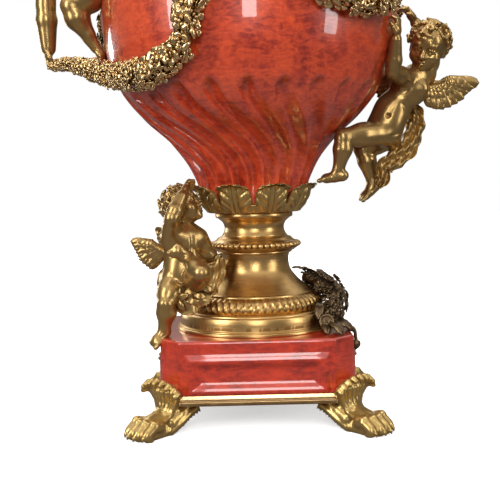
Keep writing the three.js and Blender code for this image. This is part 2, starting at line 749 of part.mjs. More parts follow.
function boy(pose) {
  const shoulderLine = V(...pose.arms[1].shoulder).sub(V(...pose.arms[0].shoulder)).normalize();
  const torso = limb(
    [pose.pelvis, pose.waist, pose.chest, pose.collarbone],
    [FLESH.pelvis, FLESH.waist, FLESH.chest, FLESH.collarbone],
    { sides: 8, across: shoulderLine },
  );
  const front = V(...pose.face).normalize();
  const chin = V(...pose.head).addScaledVector(front, 8).add(V(0, 0, -9));
  const nose = V(...pose.head).addScaledVector(front, 15.5).add(V(0, 0, -3));
  return join([
    torso,
    limb([pose.collarbone, pose.head], [FLESH.neck + 1, FLESH.neck]),
    curlyHead(pose),
    ball(chin.toArray(), [9.5, 9.5, 7.5]),
    ball(nose.toArray(), [2.4, 2.4, 2.8], [4, 3]),
    ...pose.arms.map((each) => arm(each, pose.bulk)),
    ...pose.legs.flatMap((each) => leg(each, pose.bulk)),
    ...pose.wings.map((each) => wing(each, pose.chest)),
  ]);
}

// A band of gathered cloth along a line, wider and narrower as it folds.
function cloth(points, widths, across, thickness = 3) {
  return limb(
    points,
    widths.map((w) => [w, thickness]),
    { sides: 6, across: V(...across) },
  );
}

const CLIMBER_PLACE = [BELLY_RADIUS, 0, BELLY_Z];
const LEANER_PLACE = [-BELLY_RADIUS, 0, BELLY_Z];

const moved = (made, offset) => solid(geometryOf(made).translate(...offset));

// The boy who climbs the right side: anchored at the belly's widest point on +X.
const CLIMBER = {
  pelvis: [-14.5, -7, -110],
  waist: [-5.5, -7, -89.5],
  chest: [11.5, -9, -68.5],
  collarbone: [19.5, -10, -56],
  head: [28.5, -15, -31],
  face: [-0.42, -0.86, -0.28],
  skullScale: 1.15,
  arms: [
    { shoulder: [6, -19, -61], elbow: [-11, -48, -57], wrist: [-10, -61, -30], hand: [-7.5, -63.5, -13] },
    { shoulder: [29, -2, -56], elbow: [42, 15, -30], wrist: [21, 8, -4], hand: [14, 6, 6] },
  ],
  legs: [
    {
      hip: [-19, -15, -112.5],
      knee: [-57, -34, -116.5],
      ankle: [-61.5, -31, -146],
      heel: [-58, -31, -153],
      toe: [-78, -28, -156],
    },
    {
      hip: [-7, 5, -115],
      knee: [-34.5, 4, -127],
      ankle: [-24.5, 4, -159.5],
      heel: [-22.5, 5, -164.5],
      toe: [-35.5, 0, -176],
    },
  ],
  wings: [
    {
      root: [30, 3, -66],
      tips: [[82, -2, -66], [72, -2, -73], [65, -2, -82], [54, -2, -88], [43, -2, -91], [34, -1, -88]],
      facing: [0.1, 1, 0],
      bow: 9,
    },
    {
      root: [18, 6, -70],
      tips: [[-10, 50, -52], [-14, 48, -62], [-12, 44, -74], [-5, 38, -84]],
      facing: [1, 0.3, 0],
      bow: 7,
    },
  ],
};
const CLIMBER_CLOTH = {
  line: [
    [15, 6, -80],
    [20, 5, -98],
    [16, 3, -115],
    [9, -2, -129],
    [-4, -5, -139],
    [-14, -7, -146],
    [-16, -7, -157],
    [-21, -6, -165],
  ],
  widths: [5, 8.5, 10, 10, 10, 9, 7, 4],
};

// The boy who leans out from the left shoulder: anchored at the belly's widest point on -X.
const LEANER = {
  pelvis: [9, -7, 42],
  waist: [-10, -8, 53],
  chest: [-29, -10, 67],
  collarbone: [-37, -12, 76],
  head: [-44, -20, 108],
  face: [0.25, -0.86, -0.42],
  bulk: 1.15,
  arms: [
    { shoulder: [-48, -18, 62], elbow: [-51.6, -16, 17], wrist: [-51, -15, -23], hand: [-51.5, -16, -36] },
    { shoulder: [-25, -2, 80], elbow: [0, 6, 76], wrist: [19, 0, 70], hand: [25, -3, 67] },
  ],
  legs: [
    {
      hip: [4, -16, 33],
      knee: [-25, -21, 15],
      ankle: [-12, -16, -11],
      heel: [-11, -15, -15],
      toe: [2.7, -12, -34.5],
    },
    { hip: [10, 8, 35], knee: [12, 62, 22], ankle: [17, 72, -6], heel: [15, 74, -10], toe: [23, 81, -26] },
  ],
  wings: [
    {
      root: [-32, 6, 78],
      tips: [[-75, 28, 120], [-82, 26, 107], [-80, 24, 95], [-73, 22, 84], [-64, 20, 74]],
      facing: [0.2, 1, 0],
      bow: 9,
    },
    {
      root: [-22, 8, 84],
      tips: [[-8, 42, 132], [0, 44, 120], [4, 42, 108], [2, 38, 98]],
      facing: [1, -0.4, 0],
      bow: 7,
    },
  ],
};

// The boy who sits on the foot at the front left: anchored on the axis at the plinth's top.
const SITTER = {
  pelvis: [-70, -43, 54],
  waist: [-68, -43, 70],
  chest: [-67, -42, 88],
  collarbone: [-68, -41, 99],
  head: [-68, -37, 122],
  face: [0.55, -0.7, 0.42],
  arms: [
    { shoulder: [-81, -48, 94], elbow: [-79, -67, 106], wrist: [-70, -44, 132], hand: [-69.5, -28, 141] },
    { shoulder: [-54, -38, 91], elbow: [-46, -34, 76], wrist: [-40, -27, 69], hand: [-37.5, -23, 66] },
  ],
  legs: [
    {
      hip: [-78, -50, 51],
      knee: [-84, -66, 32],
      ankle: [-86.5, -62, 10],
      heel: [-86, -60, 5],
      toe: [-96, -67, -4],
    },
    {
      hip: [-59, -49, 51],
      knee: [-48, -90, 60],
      ankle: [-66, -72, 76],
      heel: [-66, -70, 78],
      toe: [-78, -76, 86],
    },
  ],
  wings: [
    {
      root: [-84, -34, 80],
      tips: [[-120, -32, 90], [-116, -32, 80], [-112, -32, 70], [-103, -32, 62]],
      facing: [0.1, 1, 0],
      bow: 8,
    },
    {
      root: [-78, -26, 84],
      tips: [[-98, 6, 98], [-96, 8, 86], [-91, 8, 75], [-84, 4, 66]],
      facing: [1, 0.4, 0],
      bow: 6,
    },
  ],
};
const SITTER_CLOTH = {
  line: [
    [-76, -60, 33],
    [-68, -63, 31],
    [-57, -61, 37],
    [-45, -53, 47],
    [-36, -42, 59],
    [-32, -33, 71],
  ],
  widths: [7, 10, 11.5, 11, 8.5, 5],
};

function climbingBoy() {
  const drape = cloth(CLIMBER_CLOTH.line, CLIMBER_CLOTH.widths, [0.8, 0, -0.6], 3);
  const whole = boy(CLIMBER).add(drape);
  return moved(whole, CLIMBER_PLACE).subtract(bodyEnvelope()).subtract(cupEnvelope());
}

function leaningBoy() {
  return moved(boy(LEANER), LEANER_PLACE).subtract(bodyEnvelope());
}

function sittingBoy() {
  const drape = cloth(SITTER_CLOTH.line, SITTER_CLOTH.widths, [-0.5, 0.2, 0.85], 2.5);
  const whole = moved(boy(SITTER).add(drape), [0, 0, PLINTH_TOP]);
  return whole.subtract(footEnvelope()).subtract(plinthEnvelope()).subtract(cupEnvelope());
}

// A smooth cone around the leaf cup, grown by the clearance.
function cupEnvelope() {
  return turned([
    [0, THROAT_TOP],
    [CUP_RADIUS, THROAT_TOP],
    [CUP_RADIUS + 7, THROAT_TOP + CUP_HEIGHT * 0.3],
    [CUP_RADIUS + 12, THROAT_TOP + CUP_HEIGHT * 0.65],
    [CUP_LIP_RADIUS + 1.5, THROAT_TOP + CUP_HEIGHT],
    [0, THROAT_TOP + CUP_HEIGHT],
  ]);
}

// A rope of flowers along [x, y, z, radius] stations: a knobbly tube of alternating flower heads,
// with pointed leaves that stand out of it.
function garland(stations, { steps, sides = 7, leaves = 0, leafLength = 15 }) {
  const curve = new THREE.CatmullRomCurve3(stations.map(([x, y, z]) => V(x, y, z)));
  const radiusAt = (t) => {
    const at = t * (stations.length - 1);
    const i = Math.min(Math.floor(at), stations.length - 2);
    return lerp(stations[i][3], stations[i + 1][3], at - i);
  };
  const frameAt = (t) => {
    const centre = curve.getPoint(t);
    const along = curve.getTangent(t);
    const out = V(centre.x, centre.y, 0).normalize();
    out.addScaledVector(along, -out.dot(along)).normalize();
    return { centre, along, out, upward: along.clone().cross(out) };
  };
  const rings = Array.from({ length: steps + 1 }, (_, i) => {
    const t = i / steps;
    const { centre, out, upward } = frameAt(t);
    return Array.from({ length: sides }, (_, k) => {
      const angle = ((k + (i % 2) / 2) / sides) * 2 * Math.PI;
      const knob = (i + k) % 2 ? 1.05 : 0.74;
      const reach = radiusAt(t) * (knob + 0.16 * (scatter(i * sides + k) - 0.5));
      return centre
        .clone()
        .addScaledVector(out, reach * Math.cos(angle))
        .addScaledVector(upward, reach * Math.sin(angle));
    });
  });
  const rope = solid(skin(rings, curve.getPoint(0), curve.getPoint(1)));
  const blades = Array.from({ length: leaves }, (_, k) => {
    const t = (k + 0.5) / leaves;
    const { centre, along, out, upward } = frameAt(t);
    const side = k % 2 ? 1 : -1;
    const direction = upward.clone().multiplyScalar(side).addScaledVector(along, 0.5 - scatter(k));
    const base = centre.clone().addScaledVector(direction, radiusAt(t) * 0.4);
    const tip = base.clone().addScaledVector(direction, leafLength);
    return leafBlade(base.addScaledVector(out, 2), tip, 10, out);
  });
  return join([rope, ...blades]);
}

// Stations of the front garland, from the leaning boy's hand, up to the middle and down to the climber's.
const FRONT_SWAG = [
  [-191, -17, 338, 5],
  [-175.8, -22, 338, 6.5],
  [-153.8, -36, 332, 9],
  [-131.5, -57, 323, 11],
  [-112, -79, 318, 12.5],
  [-90, -103, 318.5, 13],
  [-74, -117, 325.5, 12.5],
  [-60, -129, 334, 11.5],
  [-53, -136, 346, 10.5],
  [-52, -140, 361, 11],
  [-42, -144, 383, 11],
  [-26, -143, 405, 10],
  [4, -136, 428, 12],
  [27, -141, 410, 10],
  [45, -142, 396, 11],
  [65, -137, 382, 12],
  [87, -123, 374, 12],
  [110, -103, 375, 11],
  [126, -82, 380, 8],
  [131.5, -74, 382.5, 5],
];
// Stations of the back garland, from below the leaning boy round to the climber's other hand.
const BACK_SWAG = [
  [-147, 24, 394, 4.5],
  [-149, 27, 374, 5],
  [-147, 33, 353, 7],
  [-137, 54, 335, 9],
  [-110, 92, 321, 11],
  [-62, 127, 315, 12],
  [0, 142, 318, 12],
  [58, 138, 332, 12],
  [102, 112, 354, 11],
  [132, 72, 376, 9],
  [146, 38, 388, 7],
  [152, 20, 391, 4.5],
];
const SWAG_BELLY = [144, 378]; // radius and height of the belly that the stations were set out on

function fitted(stations) {
  const [radius, height] = SWAG_BELLY;
  const scale = BELLY_RADIUS / radius;
  return stations.map(([x, y, z, r]) => [x * scale, y * scale, z - height + BELLY_Z, r]);
}

// The fallen spray at the right: flowers over the foot, a rosette and leaves on the plinth.
const SPRAY = [
  [48, 14, 50, 5],
  [58, 6, 46, 8],
  [69, -6, 41, 10.5],
  [78, -22, 33, 12],
  [76, -37, 22, 12],
  [70, -49, 11, 10],
];

function flowerSpray() {
  const up = SPRAY.map(([x, y, z, r]) => [x, y, z + PLINTH_TOP, r]);
  const stem = garland(up, { steps: 9 });
  const rosette = V(66, -54, PLINTH_TOP + 11);
  const disc = limb([rosette.clone().add(V(6, 4, 1)), rosette.clone().add(V(0, -3, 0))], [6.5, 6.5], {
    sides: 8,
    reach: 0.2,
  });
  const leaf = (from, to, width) =>
    leafBlade(V(from[0], from[1], PLINTH_TOP + 8), V(to[0], to[1], PLINTH_TOP + 2.4), width, V(0.1, -0.1, 1));
  const bud = limb(
    [
      [76, -42, PLINTH_TOP + 8],
      [PLINTH_HALF + 3.5, -42, PLINTH_TOP + 1],
      [PLINTH_HALF + 5, -42, PLINTH_TOP - 13],
    ],
    [4, 3, 4.6],
    { across: V(0, 1, 0) },
  );
  const whole = join([
    stem,
    disc,
    bud,
    leaf([74, -48], [89, -62], 11),
    leaf([76, -46], [96, -50], 11),
    leaf([66, -52], [74, -68], 9),
  ]);
  return whole.subtract(footEnvelope()).subtract(plinthEnvelope());
}

// Assembly
const urn = new THREE.Group();

function place(name, made, material) {
  const mesh = new THREE.Mesh(geometryOf(made), material);
  mesh.name = name;
  urn.add(mesh);
  return mesh;
}

const paw = pawFoot();
["front_right", "back_right", "back_left", "front_left"].forEach((corner, k) => {
  place(`paw_${corner}`, paw, bronze).rotation.z = -Math.PI / 4 + (k * Math.PI) / 2;
});
place("base_frame", baseFrame(), bronze);
place("plinth", plinth(), porcelain);

place("foot", turnedFoot(), bronze);
place("beaded_knop", beadedKnop(), bronze);
place("throat", throat(), bronze);
place("leaf_cup", leafCup(), bronze);
place("urn_body", urnBody(), porcelain);
place("neck_collar", neckCollar(), bronze);
place("neck", neck(), porcelain);
place("rim", rim(), bronze);
place("lid", lid(), porcelain);
place("finial", finial(), bronze);
place("boy_climbing", climbingBoy(), bronze);
place("boy_leaning", leaningBoy(), bronze);
place("boy_sitting", sittingBoy(), bronze);

const frontSwag = garland(fitted(FRONT_SWAG), { steps: 36, sides: 6, leaves: 10 });
const backSwag = garland(fitted(BACK_SWAG), { steps: 24, sides: 6, leaves: 3 });
const around = join([
  bodyEnvelope(),
  limbEnvelope(CLIMBER, CLIMBER_PLACE),
  limbEnvelope(LEANER, LEANER_PLACE),
]);
place("garland_front", frontSwag.subtract(around), bronze);
place("garland_back", backSwag.subtract(around), bronze);
place("flower_spray", flowerSpray(), bronze);

export default urn;
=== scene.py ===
"""A mantel urn in red glazed porcelain and gilt bronze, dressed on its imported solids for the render.

Shapes are worked out in millimetres with numpy and put into the scene in metres. Turned, carved and
leaf-shaped pieces are surfaces on two-parameter grids. The cast figures and paws are modelled as
clay: a signed distance field to which rounded forms are joined with soft seams.
"""

from __future__ import annotations

import logging
import math
from dataclasses import dataclass
from enum import Enum
from typing import Callable, Iterable, Sequence

import bmesh
import bpy
import numpy as np
import openvdb
from mathutils import Matrix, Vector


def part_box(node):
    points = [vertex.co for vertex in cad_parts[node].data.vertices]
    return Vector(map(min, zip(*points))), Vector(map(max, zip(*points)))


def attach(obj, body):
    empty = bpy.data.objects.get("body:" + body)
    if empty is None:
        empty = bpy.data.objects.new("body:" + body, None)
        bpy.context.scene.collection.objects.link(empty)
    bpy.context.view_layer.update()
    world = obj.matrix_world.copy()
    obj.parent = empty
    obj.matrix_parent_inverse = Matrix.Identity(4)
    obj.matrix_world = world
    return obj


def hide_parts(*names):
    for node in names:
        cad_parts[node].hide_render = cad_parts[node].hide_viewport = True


LOG = logging.getLogger("mantel_urn")
MM = 0.001
# Points closer than this many metres are one point
SAME_POINT = 1e-6
# Value of clay far from its surface, in millimetres
EMPTY = 6.0
# Direction that a cord's first side point is turned to; no cord runs along it
CORD_HINT = np.array([0.31, -0.23, 0.92])
# Stands for a place on a cant, where no panel is near
NO_PANEL = 999.0

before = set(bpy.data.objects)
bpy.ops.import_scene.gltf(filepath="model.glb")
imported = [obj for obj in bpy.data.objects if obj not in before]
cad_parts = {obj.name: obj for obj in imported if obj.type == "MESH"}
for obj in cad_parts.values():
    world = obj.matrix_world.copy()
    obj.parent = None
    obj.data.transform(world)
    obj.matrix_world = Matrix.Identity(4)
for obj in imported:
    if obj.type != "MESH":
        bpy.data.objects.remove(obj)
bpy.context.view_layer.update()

# Distance of the photograph's camera from the urn's axis, its height, and its lens for a 36 mm sensor
CAMERA_DISTANCE, CAMERA_HEIGHT, CAMERA_LENS = 883.0, 229.0, 63.6
CAMERA_PITCH, CAMERA_YAW, CAMERA_ROLL = 4.47, 0.31, -1.45

Vec = Sequence[float]


class Slot(Enum):
    """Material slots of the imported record."""

    PORCELAIN = "porcelain"
    POLISHED = "polished_brass"
    GILT = "antique_gilt"
    AGED = "aged_bronze"
    DARK = "dark_bronze"


def node_top(node: str) -> float:
    """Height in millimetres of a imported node's top."""
    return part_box(node)[1][2] / MM


def node_base(node: str) -> float:
    """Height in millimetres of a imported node's underside."""
    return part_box(node)[0][2] / MM


def node_span(node: str) -> tuple[float, float]:
    """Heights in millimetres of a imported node's underside and top."""
    return node_base(node), node_top(node)


def smoothstep(low: float, high: float, value: np.ndarray | float) -> np.ndarray:
    """Eases from 0 at low to 1 at high: 3t^2 - 2t^3 of the clamped share t.

    Args:
        low: Value that gives 0.
        high: Value that gives 1.
        value: Where to evaluate.

    Returns:
        The eased share.
    """
    t = np.clip((np.asarray(value) - low) / (high - low), 0.0, 1.0)
    return t * t * (3.0 - 2.0 * t)


def vec(numbers: Vec) -> np.ndarray:
    """The numbers as an array of floats."""
    return np.array(numbers, dtype=float)


def unit(vector: Vec) -> np.ndarray:
    """The vector at length 1."""
    v = vec(vector)
    return v / np.linalg.norm(v)


def unit_rows(rows: np.ndarray) -> np.ndarray:
    """Each row at length 1."""
    return rows / np.linalg.norm(rows, axis=1)[:, None]


def capped(rings: np.ndarray) -> np.ndarray:
    """Rings of points, shape (around, along, 3), with each end drawn in to its middle."""
    ends = [np.broadcast_to(rings[:, k].mean(0), rings[:, k].shape)[:, None] for k in (0, -1)]
    return np.concatenate([ends[0], rings, ends[1]], axis=1)


def turn_about_z(points: np.ndarray, degrees: float) -> np.ndarray:
    """Turns points about the vertical axis.

    Args:
        points: Array whose last axis is x, y, z.
        degrees: Counter-clockwise angle seen from above.

    Returns:
        The turned points.
    """
    a = math.radians(degrees)
    rotation = np.array([[math.cos(a), math.sin(a), 0], [-math.sin(a), math.cos(a), 0], [0, 0, 1]])
    return points @ rotation


def spline(stations: Sequence[Vec], steps: int) -> np.ndarray:
    """A smooth curve through stations: each span is the Catmull-Rom cubic of its four neighbours.

    Args:
        stations: Points of any dimension.
        steps: Samples for each span.

    Returns:
        Array of points, ending on the last station.
    """
    p = vec(stations)
    p = np.concatenate([2 * p[:1] - p[1:2], p, 2 * p[-1:] - p[-2:-1]])
    t = (np.arange(steps) / steps)[None, :, None]
    a, b, c, d = (p[i : len(p) - 3 + i][:, None, :] for i in range(4))
    cubic = 0.5 * (
        2 * b + (c - a) * t + (2 * a - 5 * b + 4 * c - d) * t**2 + (3 * b - a - 3 * c + d) * t**3
    )
    return np.concatenate([cubic.reshape(-1, p.shape[1]), p[-2:-1]])


@dataclass
class Patch:
    """A piece of surface: points in millimetres, quads, and a share of shade for each point."""

    points: np.ndarray
    quads: np.ndarray
    shade: np.ndarray

    @staticmethod
    def grid(points: np.ndarray, closed_u: bool = False, shade: np.ndarray | None = None) -> Patch:
        """Joins a grid of points by quads; the outside is where u cross v points.

        Args:
            points: Array of shape (u, v, 3).
            closed_u: Whether the last row meets the first.
            shade: Share of shade for each grid point.

        Returns:
            The surface.
        """
        nu, nv = points.shape[:2]
        index = np.arange(nu * nv).reshape(nu, nv)
        if closed_u:
            index = np.concatenate([index, index[:1]], axis=0)
        quads = np.stack([index[:-1, :-1], index[1:, :-1], index[1:, 1:], index[:-1, 1:]], -1)
        flat = np.zeros(nu * nv) if shade is None else np.broadcast_to(shade, (nu, nv)).reshape(-1)
        return Patch(points.reshape(-1, 3).astype(float), quads.reshape(-1, 4), flat)

    @staticmethod
    def join(patches: Iterable[Patch]) -> Patch:
        """All the patches as one."""
        parts = list(patches)
        starts = np.cumsum([0] + [len(p.points) for p in parts[:-1]])
        return Patch(
            np.concatenate([p.points for p in parts]),
            np.concatenate([p.quads + s for p, s in zip(parts, starts)]),
            np.concatenate([p.shade for p in parts]),
        )

    def placed(self, axes: np.ndarray, origin: Vec) -> Patch:
        """A copy whose x, y and z run along the rows of axes from the origin."""
        return Patch(self.points @ axes + vec(origin), self.quads, self.shade)

    def turned(self, degrees: float) -> Patch:
        """A copy turned about the vertical axis."""
        return Patch(turn_about_z(self.points, degrees), self.quads, self.shade)


def lathe(
    profile: np.ndarray, columns: int,
    carve: Callable[[np.ndarray, np.ndarray, np.ndarray], np.ndarray] | None = None,
) -> Patch:
    """Spins a profile about Z: each point is (r cos a, r sin a, z).

    Args:
        profile: Points (radius, height), running upwards on an outside wall.
        columns: How many angles a there are.
        carve: Gives a new radius from the arrays of angle, radius and height.

    Returns:
        The turned surface, open where the profile doesn't meet the axis.
    """
    angle = np.linspace(0, 2 * np.pi, columns, endpoint=False)[:, None]
    radius = np.broadcast_to(profile[None, :, 0], (columns, len(profile)))
    height = np.broadcast_to(profile[None, :, 1], radius.shape)
    if carve:
        radius = carve(angle, radius, height)
    points = np.stack([radius * np.cos(angle), radius * np.sin(angle), height], -1)
    return Patch.grid(points, closed_u=True)


def cord(path: np.ndarray, radii: np.ndarray, shade: float = 0.0, sides: int = 12) -> Patch:
    """A round cord along a path, pointed at both ends: each ring is cos a n + sin a (t x n).

    Args:
        path: Points in millimetres.
        radii: Radius at each point.
        shade: Share of shade everywhere.
        sides: Points round it.

    Returns:
        The closed cord.
    """
    step = np.gradient(path, axis=0)
    along = unit_rows(step)
    out = unit_rows(CORD_HINT - along * (along @ CORD_HINT)[:, None])
    angle = np.linspace(0, 2 * np.pi, sides, endpoint=False)
    cosine, sine = np.cos(angle)[:, None, None], np.sin(angle)[:, None, None]
    ring = cosine * out[None] + sine * np.cross(along, out)[None]
    size = np.array(radii, dtype=float)
    size[0] = size[-1] = 0.0
    points = path[None] + ring * size[None, :, None]
    return Patch.grid(points, closed_u=True, shade=np.full(points.shape[:2], shade))


def closed_profile(*runs: Sequence[Vec], steps: int = 6) -> np.ndarray:
    """A profile from smooth runs that meet at corners, each corner held by two close points."""
    parts = []
    for run in runs:
        parts.append(spline(run, steps) if len(run) > 2 else spline(run, 2))
    return np.concatenate(parts)


def across_and_along(direction: Vec, hint: Vec) -> np.ndarray:
    """Three unit rows: across, the hint made square to the direction, and the direction itself."""
    z = unit(direction)
    y = unit(vec(hint) - z * np.dot(hint, z))
    return np.stack([np.cross(y, z), y, z])


class Clay:
    """A block of modelling clay: a signed distance in millimetres on a regular grid, negative inside."""

    def __init__(self, low: Vec, high: Vec, voxel: float) -> None:
        """Sets up an empty block from its lowest to its highest corner."""
        self.low = vec(low)
        self.voxel = voxel
        count = np.ceil((vec(high) - self.low) / voxel).astype(int) + 1
        self.distance = np.full(count, EMPTY, dtype=np.float32)

    def _window(self, low: np.ndarray, high: np.ndarray) -> tuple[tuple[slice, ...], list[np.ndarray]]:
        """The part of the grid between two corners, with its open x, y and z coordinates."""
        first = np.maximum(np.floor((low - self.low) / self.voxel).astype(int), 0)
        last = np.minimum(np.ceil((high - self.low) / self.voxel).astype(int) + 1, self.distance.shape)
        last = np.maximum(last, first)
        cut = tuple(slice(a, b) for a, b in zip(first, last))
        lines = [self.low[k] + self.voxel * np.arange(first[k], last[k]) for k in range(3)]
        x, y, z = (lines[0][:, None, None], lines[1][None, :, None], lines[2][None, None, :])
        return cut, [x, y, z]

    def _blend(self, cut: tuple[slice, ...], form: np.ndarray, soft: float, add: bool) -> None:
        """Joins a form, or cuts it away: min(a, b) - h^2 k / 4 with h = max(k - |a - b|, 0) / k."""
        old = self.distance[cut] if add else -self.distance[cut]
        h = np.maximum(soft - np.abs(old - form), 0.0) / soft
        new = np.minimum(old, form) - h * h * soft * 0.25
        self.distance[cut] = (new if add else -new).astype(np.float32)

    def limb(self, a: Vec, b: Vec, ra: float, rb: float, soft: float = 3.0, add: bool = True) -> None:
        """Adds a round limb: the distance to the segment a-b less a radius that runs from ra to rb.

        Args:
            a: First end.
            b: Second end.
            ra: Radius at the first end.
            rb: Radius at the second end.
            soft: Width of the soft seam to what is there.
            add: False cuts the form away.
        """
        a, b = vec(a), vec(b)
        reach = max(ra, rb) + soft + 2 * self.voxel
        cut, (x, y, z) = self._window(np.minimum(a, b) - reach, np.maximum(a, b) + reach)
        along = b - a
        span = max(float(along @ along), 1e-9)
        share = ((x - a[0]) * along[0] + (y - a[1]) * along[1] + (z - a[2]) * along[2]) / span
        share = np.clip(share, 0, 1)
        dx, dy, dz = (x - a[0] - share * along[0], y - a[1] - share * along[1], z - a[2] - share * along[2])
        form = np.sqrt(dx * dx + dy * dy + dz * dz) - (ra + (rb - ra) * share)
        self._blend(cut, form, soft, add)

    def chain(
        self, points: Sequence[Vec], radii: Sequence[float], soft: float = 3.0, add: bool = True
    ) -> None:
        """Adds limbs from point to point with a radius at each."""
        for (a, b), (ra, rb) in zip(zip(points, points[1:]), zip(radii, radii[1:])):
            self.limb(a, b, ra, rb, soft, add)

    def egg(
        self, centre: Vec, radii: Vec, axes: np.ndarray | None = None, soft: float = 3.0, add: bool = True,
    ) -> None:
        """Adds an ellipsoid: k (k - 1) / g with k the scaled length and g its gradient's length.

        Args:
            centre: Middle.
            radii: Half sizes along the rows of axes.
            axes: Three unit rows, or none for x, y and z.
            soft: Width of the soft seam.
            add: False cuts the form away.
        """
        c = vec(centre)
        m = np.eye(3) if axes is None else axes
        r = vec(radii)
        reach = np.sqrt(((m * r[:, None]) ** 2).sum(0)) + soft + 2 * self.voxel
        cut, (x, y, z) = self._window(c - reach, c + reach)
        dx, dy, dz = x - c[0], y - c[1], z - c[2]
        local = [dx * m[i, 0] + dy * m[i, 1] + dz * m[i, 2] for i in range(3)]
        k = np.sqrt(sum((v / s) ** 2 for v, s in zip(local, r)))
        g = np.sqrt(sum((v / s**2) ** 2 for v, s in zip(local, r)))
        form = k * (k - 1.0) / np.maximum(g, 1e-6)
        self._blend(cut, form, soft, add)

    def keep_outside(self, radius_at: Callable[[np.ndarray], np.ndarray], low: float, high: float) -> None:
        """Cuts away what lies within a turned neighbour between two heights.

        Args:
            radius_at: The neighbour's radius for an array of heights.
            low: Lowest height of the cut.
            high: Highest height of the cut.
        """
        far = self.low + self.voxel * np.array(self.distance.shape)
        cut, (x, y, z) = self._window(np.array([*self.low[:2], low]), np.array([*far[:2], high]))
        form = np.sqrt(x * x + y * y) - radius_at(z)
        self.distance[cut] = np.maximum(self.distance[cut], -form).astype(np.float32)

    def keep_above(self, height: float) -> None:
        """Cuts away what lies below a height."""
        z = self.low[2] + self.voxel * np.arange(self.distance.shape[2])
        self.distance = np.maximum(self.distance, (height - z)[None, None, :]).astype(np.float32)

    def patch(self) -> Patch:
        """The clay's surface where the distance is zero."""
        edge = self.distance
        for axis in range(3):
            sides = np.moveaxis(edge, axis, 0)
            sides[0] = sides[-1] = EMPTY
        grid = openvdb.FloatGrid(EMPTY)
        grid.copyFromArray(edge)
        points, quads = grid.convertToQuads(isovalue=0.0)
        placed = points.astype(float) * self.voxel + self.low
        return Patch(placed, quads.astype(int), np.zeros(len(points)))


def surface_shade(patch: Patch, normals: np.ndarray, rounds: int, reach: float) -> np.ndarray:
    """How hollow the surface is at each point, from -1 on ridges to 1 in hollows; it is used as painted
    shade in hollows and painted highlight on ridges.

    The points are averaged with their neighbours a number of times; how far the average lies
    out along the normal, as a share of the reach, is the answer.

    Args:
        patch: The surface.
        normals: Unit normal at each point.
        rounds: How often the average is taken.
        reach: Distance in millimetres that counts as fully hollow.

    Returns:
        Array with one value for each point.
    """
    a = patch.quads.reshape(-1)
    b = np.roll(patch.quads, -1, axis=1).reshape(-1)
    ends, others = np.concatenate([a, b]), np.concatenate([b, a])
    count = len(patch.points)
    degree = np.maximum(np.bincount(ends, minlength=count), 1)
    mean = patch.points.copy()
    for _ in range(rounds):
        total = [np.bincount(ends, weights=mean[others, k], minlength=count) for k in range(3)]
        mean = 0.5 * mean + 0.5 * np.stack(total, -1) / degree[:, None]
    hollow = ((mean - patch.points) * normals).sum(1) / reach
    return np.clip(hollow, -1, 1)


def make_piece(
    name: str, patch: Patch, finish: Finish, nodes: Sequence[str], *, merge: bool = False, rounds: int = 4,
    reach: float = 0.5, crease: float | None = None,
) -> bpy.types.Object:
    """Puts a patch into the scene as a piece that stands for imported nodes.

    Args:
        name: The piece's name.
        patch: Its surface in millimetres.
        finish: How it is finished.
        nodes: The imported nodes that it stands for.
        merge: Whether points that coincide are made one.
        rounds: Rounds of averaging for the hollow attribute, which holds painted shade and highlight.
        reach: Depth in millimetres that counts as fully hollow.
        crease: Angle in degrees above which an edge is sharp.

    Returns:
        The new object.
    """
    mesh = bpy.data.meshes.new(name)
    quads = patch.quads
    mesh.vertices.add(len(patch.points))
    mesh.vertices.foreach_set("co", (patch.points * MM).astype(np.float32).ravel())
    mesh.loops.add(quads.size)
    mesh.loops.foreach_set("vertex_index", quads.astype(np.int32).ravel())
    mesh.polygons.add(len(quads))
    mesh.polygons.foreach_set("loop_start", np.arange(0, quads.size, 4, dtype=np.int32))
    mesh.update(calc_edges=True)
    normals = np.zeros(len(patch.points) * 3, dtype=np.float32)
    mesh.vertex_normals.foreach_get("vector", normals)
    # The hollow attribute is painted shade and highlight: hollows and shaded undersides darken, ridges
    # lighten
    hollow = surface_shade(patch, normals.reshape(-1, 3), rounds, reach)
    hollow = np.clip(hollow + patch.shade, -1, 1)
    attribute = mesh.attributes.new("hollow", "FLOAT", "POINT")
    attribute.data.foreach_set("value", hollow.astype(np.float32))
    if merge:
        merge_points(mesh)
    mesh.validate()
    mesh.shade_smooth()
    if crease is not None:
        mesh.set_sharp_from_angle(angle=math.radians(crease))
    mesh.materials.append(finish.material())
    piece = bpy.data.objects.new(name, mesh)
    bpy.context.scene.collection.objects.link(piece)
    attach(piece, "root")
    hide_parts(*nodes)
    LOG.info("%s: %d faces", name, len(mesh.polygons))
    return piece


def merge_points(mesh: bpy.types.Mesh) -> None:
    """Makes points of a mesh that coincide one."""
    made = bmesh.new()
    made.from_mesh(mesh)
    bmesh.ops.remove_doubles(made, verts=made.verts, dist=SAME_POINT)
    made.to_mesh(mesh)
    made.free()


